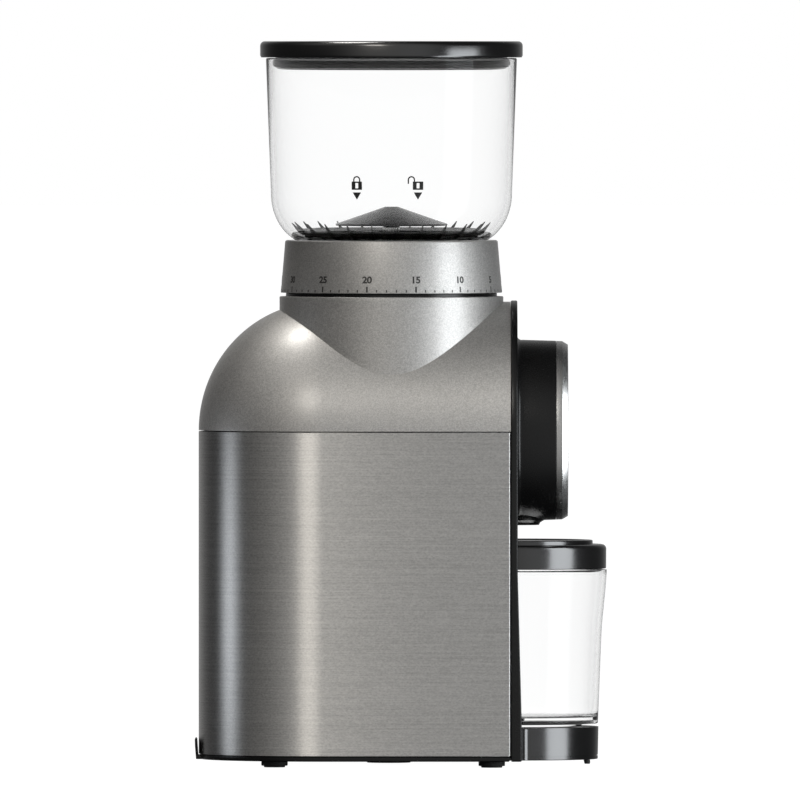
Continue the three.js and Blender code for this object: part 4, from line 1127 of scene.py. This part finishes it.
def build_cup_lid():
    low, high = span("cup_lid")
    radius = radius_of("cup_lid")
    disc_low, disc_high = span("cup_lid_disc")
    disc = radius_of("cup_lid_disc")
    inside = 40.3
    roof = disc_low.z
    cap = lathe("cup_cap", rounded([
        (inside, low.z, 0.4), (radius - 0.1, low.z, 0.5), (radius, high.z, 2.2), (disc + 0.15, high.z, 0.3),
        (disc + 0.15, roof), (inside, roof, 0.8)]), CUP_X, segments=LARGE)
    finish_piece(cap, "cup_lid", "black_plastic", "cup_lid")
    bore = 13
    plate = lathe("cup_cap_plate", rounded([
        (bore, disc_low.z), (disc, disc_low.z), (disc, disc_high.z, 0.6), (disc - 2.6, disc_high.z, 0.4),
        (disc - 3.4, disc_high.z - 0.5, 0.4), (bore + 3, disc_high.z - 0.9, 1),
        (bore, disc_high.z - 1.6, 0.5)]), CUP_X)
    finish_piece(plate, "cup_lid", "black_plastic", "cup_lid_disc")


# ---------------------------------------------------------------- burrs
def sawtooth(turns):
    return turns % 1


def build_burrs():
    low, high = span("cone_burr")
    wide = radius_of("cone_burr")
    bore = 4.2
    fine_teeth = 36
    breakers = 6

    def cone_shape(radius, z, angle):
        if radius < bore + 1:
            return radius
        turns = angle / (2 * math.pi)
        if z < low.z + 9.5:
            return radius - 1.1 * sawtooth(fine_teeth * turns + 0.06 * (z - low.z))
        return radius - 3.0 * sawtooth(breakers * turns + 0.05 * (z - low.z))

    heights = [low.z + (high.z - low.z) * i / 24 for i in range(25)]
    flank = []
    for z in heights:
        if z < low.z + 2.5:
            flank.append((wide, z))
        elif z < low.z + 9:
            flank.append((wide - 5.2 * (z - low.z - 2.5) / 6.5, z))
        else:
            flank.append((14 - 2.6 * (z - low.z - 9) / (high.z - low.z - 9), z))
    cone = lathe("burr_cone", [(bore, low.z), *flank, (bore, high.z)], BURR_X, 0, TOOTHED, shape=cone_shape)
    finish_piece(cone, "burr_rotor", "burr_steel", "cone_burr", sharp=30)
    low, high = span("ring_burr")
    outer = radius_of("ring_burr")
    teeth = 36

    def ring_shape(radius, z, angle):
        if radius > 22:
            return radius
        turns = angle / (2 * math.pi)
        return radius + 1.2 * sawtooth(teeth * turns - 0.05 * (z - low.z))

    mouth = 20.1
    straight = 4
    throat = [(mouth, low.z + straight * i / 6) for i in range(7)]
    throat += [(mouth + 1.3 * i / 10, low.z + straight + 10.8 * i / 10) for i in range(1, 11)]
    profile = [(outer, low.z), (outer, high.z), *reversed(throat)]
    ring = lathe("burr_ring", profile, BURR_X, 0, TOOTHED, shape=ring_shape)
    finish_piece(ring, "upper_burr", "burr_steel", "ring_burr", sharp=30)
    low, high = span("upper_burr_carrier")
    outer = radius_of("upper_burr_carrier")
    seat, skirt, throat_radius = 26.3, 29, 21.5
    shelf = low.z + 14.9
    brim = low.z + 10.2
    carrier = lathe("burr_funnel", rounded([
        (seat, low.z), (skirt, low.z, 0.4), (skirt, brim, 0.6), (outer, brim, 0.5), (outer, high.z, 0.4),
        (outer - 2, high.z, 0.4), (throat_radius, shelf + 2.4, 1), (throat_radius, shelf), (seat, shelf),
    ]), BURR_X)
    finish_piece(carrier, "upper_burr", "black_plastic", "upper_burr_carrier", look="satin_black")
    low, high = span("burr_nut")
    radius = radius_of("burr_nut")
    hexagon = arc(6, 30, 390, lambda t: (BURR_X + radius * math.cos(t), radius * math.sin(t)))[:-1]
    nut = soften(upright("cone_nut", hexagon, low.z, high.z), 0.5, 2)
    cut(nut, rod("nut_bore", bore, low.z - PAST, high.z + PAST, BURR_X, segments=SMALL))
    finish_piece(nut, "burr_rotor", "gear_steel", "burr_nut")
    low, high = span("burr_shaft")
    radius = radius_of("burr_shaft")
    shaft = lathe("drive_shaft", rounded([
        (0, low.z), (radius, low.z, 0.4), (radius, high.z, 0.6), (0, high.z)]), BURR_X, 0, MEDIUM)
    finish_piece(shaft, "burr_rotor", "gear_steel", "burr_shaft")


# ---------------------------------------------------------------- inner nodes that keep their CAD shape
def dress_inner_nodes():
    slots = {row["node"]: row["material_slot"] for row in frame["record"]["subparts"]}
    for name, node in frame["nodes"].items():
        if node.hide_render:
            continue
        node.data.materials.clear()
        node.data.materials.append(LOOKS[slots[name]])
        edge = node.modifiers.new("edges", "BEVEL")
        edge.width = 0.15 * MM
        edge.segments = 2
        edge.limit_method = "ANGLE"
        edge.angle_limit = math.radians(50)


# ---------------------------------------------------------------- studio
def towards(azimuth, elevation):
    """A direction: azimuth 0 is toward the camera side (-Y) and 90 toward +X."""
    a, e = math.radians(azimuth), math.radians(elevation)
    return Vector((math.sin(a) * math.cos(e), -math.cos(a) * math.cos(e), math.sin(e)))


def softbox(name, aim, azimuth, elevation, distance, width, height, radiance, colour, spread=180):
    """A rectangular light facing the point aim, hidden from the camera. spread narrows its beam."""
    light = bpy.data.lights.new(name, "AREA")
    light.shape = "RECTANGLE"
    light.size = width
    light.size_y = height
    light.energy = radiance * math.pi * width * height
    light.color = colour
    light.spread = math.radians(spread)
    lamp = bpy.data.objects.new(name, light)
    lamp.location = aim + towards(azimuth, elevation) * distance
    lamp.rotation_euler = towards(azimuth, elevation).to_track_quat("Z", "Y").to_euler()
    lamp.visible_camera = False
    lamp.visible_transmission = False
    bpy.context.scene.collection.objects.link(lamp)


def build_lights():
    middle = Vector((0, 0, 0.17))
    low = Vector((0, 0, 0.125))
    body = Vector((BACK_X * MM, 0, 0.07))
    softbox("right_box", low, 61, 0, 0.36, 0.18, 0.47, 4.3, (0.93, 0.965, 1.0))
    softbox("warm_box", middle, -15, 26, 1.6, 0.44, 0.44, 5.5, (1.0, 0.95, 0.88))
    softbox("top_box", middle, -114, 74, 1.5, 0.48, 0.4, 13.0, (1.0, 0.97, 0.93))
    softbox("left_box", body, -97, 0, 0.6, 0.44, 0.14, 0.11, (0.88, 0.93, 1.0), spread=30)


def build_world():
    """White behind the object, and soft lobes of light for what its surfaces reflect."""
    world = bpy.data.worlds.new("studio")
    bpy.context.scene.world = world
    world.use_nodes = True
    tree = world.node_tree
    tree.nodes.clear()
    direction = tree.nodes.new("ShaderNodeTexCoord").outputs["Generated"]
    squashed = add_node(tree, "ShaderNodeVectorMath", direction, (1, 1, 0.3), operation="MULTIPLY")
    level = add_node(tree, "ShaderNodeVectorMath", squashed.outputs[0], operation="NORMALIZE").outputs[0]
    lobes = [
        (level, towards(-14, 2), 9, 0.33, (1.0, 0.985, 0.96)),
        (level, towards(25, 0), 12, 0.36, (0.97, 0.985, 1.0)),
        (direction, towards(-55, 50), 7, 0.45, (1.0, 0.98, 0.95)),
        (direction, towards(180, 8), 7, 0.34, (1.0, 1.0, 1.0)),
    ]
    total = (0.035, 0.035, 0.036)
    for source, aim, sharpness, strength, colour in lobes:
        dot = add_node(tree, "ShaderNodeVectorMath", source, aim, operation="DOT_PRODUCT")
        clamp = add_node(tree, "ShaderNodeMath", dot.outputs["Value"], 0, operation="MAXIMUM")
        power = add_node(tree, "ShaderNodeMath", clamp.outputs[0], sharpness, operation="POWER")
        glow = add_node(tree, "ShaderNodeVectorMath", [strength * c for c in colour], operation="SCALE")
        tree.links.new(power.outputs[0], glow.inputs["Scale"])
        total = add_node(tree, "ShaderNodeVectorMath", glow.outputs[0], total, operation="ADD").outputs[0]
    around = add_node(tree, "ShaderNodeBackground", total)
    behind = add_node(tree, "ShaderNodeBackground", (1, 1, 1, 1))
    choose = add_node(tree, "ShaderNodeMixShader", seen_directly(tree), around.outputs[0], behind.outputs[0])
    add_node(tree, "ShaderNodeOutputWorld", choose.outputs[0])


def seen_directly(tree):
    """1 for what the camera sees, straight or through clear plastic."""
    path = tree.nodes.new("ShaderNodeLightPath").outputs
    rays = path["Is Camera Ray"], path["Is Transmission Ray"]
    return add_node(tree, "ShaderNodeMath", *rays, operation="MAXIMUM").outputs[0]


def build_floor():
    far = 40
    floor = block("floor", (-far / MM, -far / MM, -50), (far / MM, far / MM, -0.2))
    floor.data.transform(Matrix.Scale(MM, 4))
    material = bpy.data.materials.new("floor")
    material.use_nodes = True
    tree = material.node_tree
    tree.nodes.clear()
    pale = add_node(tree, "ShaderNodeBsdfDiffuse", (0.12, 0.12, 0.12, 1))
    glow = add_node(tree, "ShaderNodeEmission", (1, 1, 1, 1))
    lit = add_node(tree, "ShaderNodeAddShader", pale.outputs[0], glow.outputs[0])
    choose = add_node(tree, "ShaderNodeMixShader", seen_directly(tree), pale.outputs[0], lit.outputs[0])
    add_node(tree, "ShaderNodeOutputMaterial", choose.outputs[0])
    floor.data.materials.append(material)
    floor.visible_glossy = False
    floor.visible_shadow = False


def build_camera():
    distance = 14
    elevation = 0.75
    view_side = 0.376
    centre = Vector((-0.00038, 0, 0.1716))
    data = bpy.data.cameras.new("camera")
    data.sensor_width = 36
    data.lens = data.sensor_width * distance / view_side
    data.clip_start = 1
    data.clip_end = 100
    camera = bpy.data.objects.new("camera", data)
    camera.location = centre + towards(0, elevation) * distance
    camera.rotation_euler = towards(0, elevation).to_track_quat("Z", "Y").to_euler()
    bpy.context.scene.collection.objects.link(camera)
    bpy.context.scene.camera = camera
    bpy.context.scene.view_settings.view_transform = "Standard"


build_camera()
build_base()
build_stand()
build_wrap()
build_dome()
build_panel()
build_spout()
build_pod()
build_selector()
build_pod_face()
build_ring()
build_hopper()
build_guard()
build_lid()
build_cup()
build_cup_lid()
build_burrs()
dress_inner_nodes()
build_floor()
build_world()
build_lights()
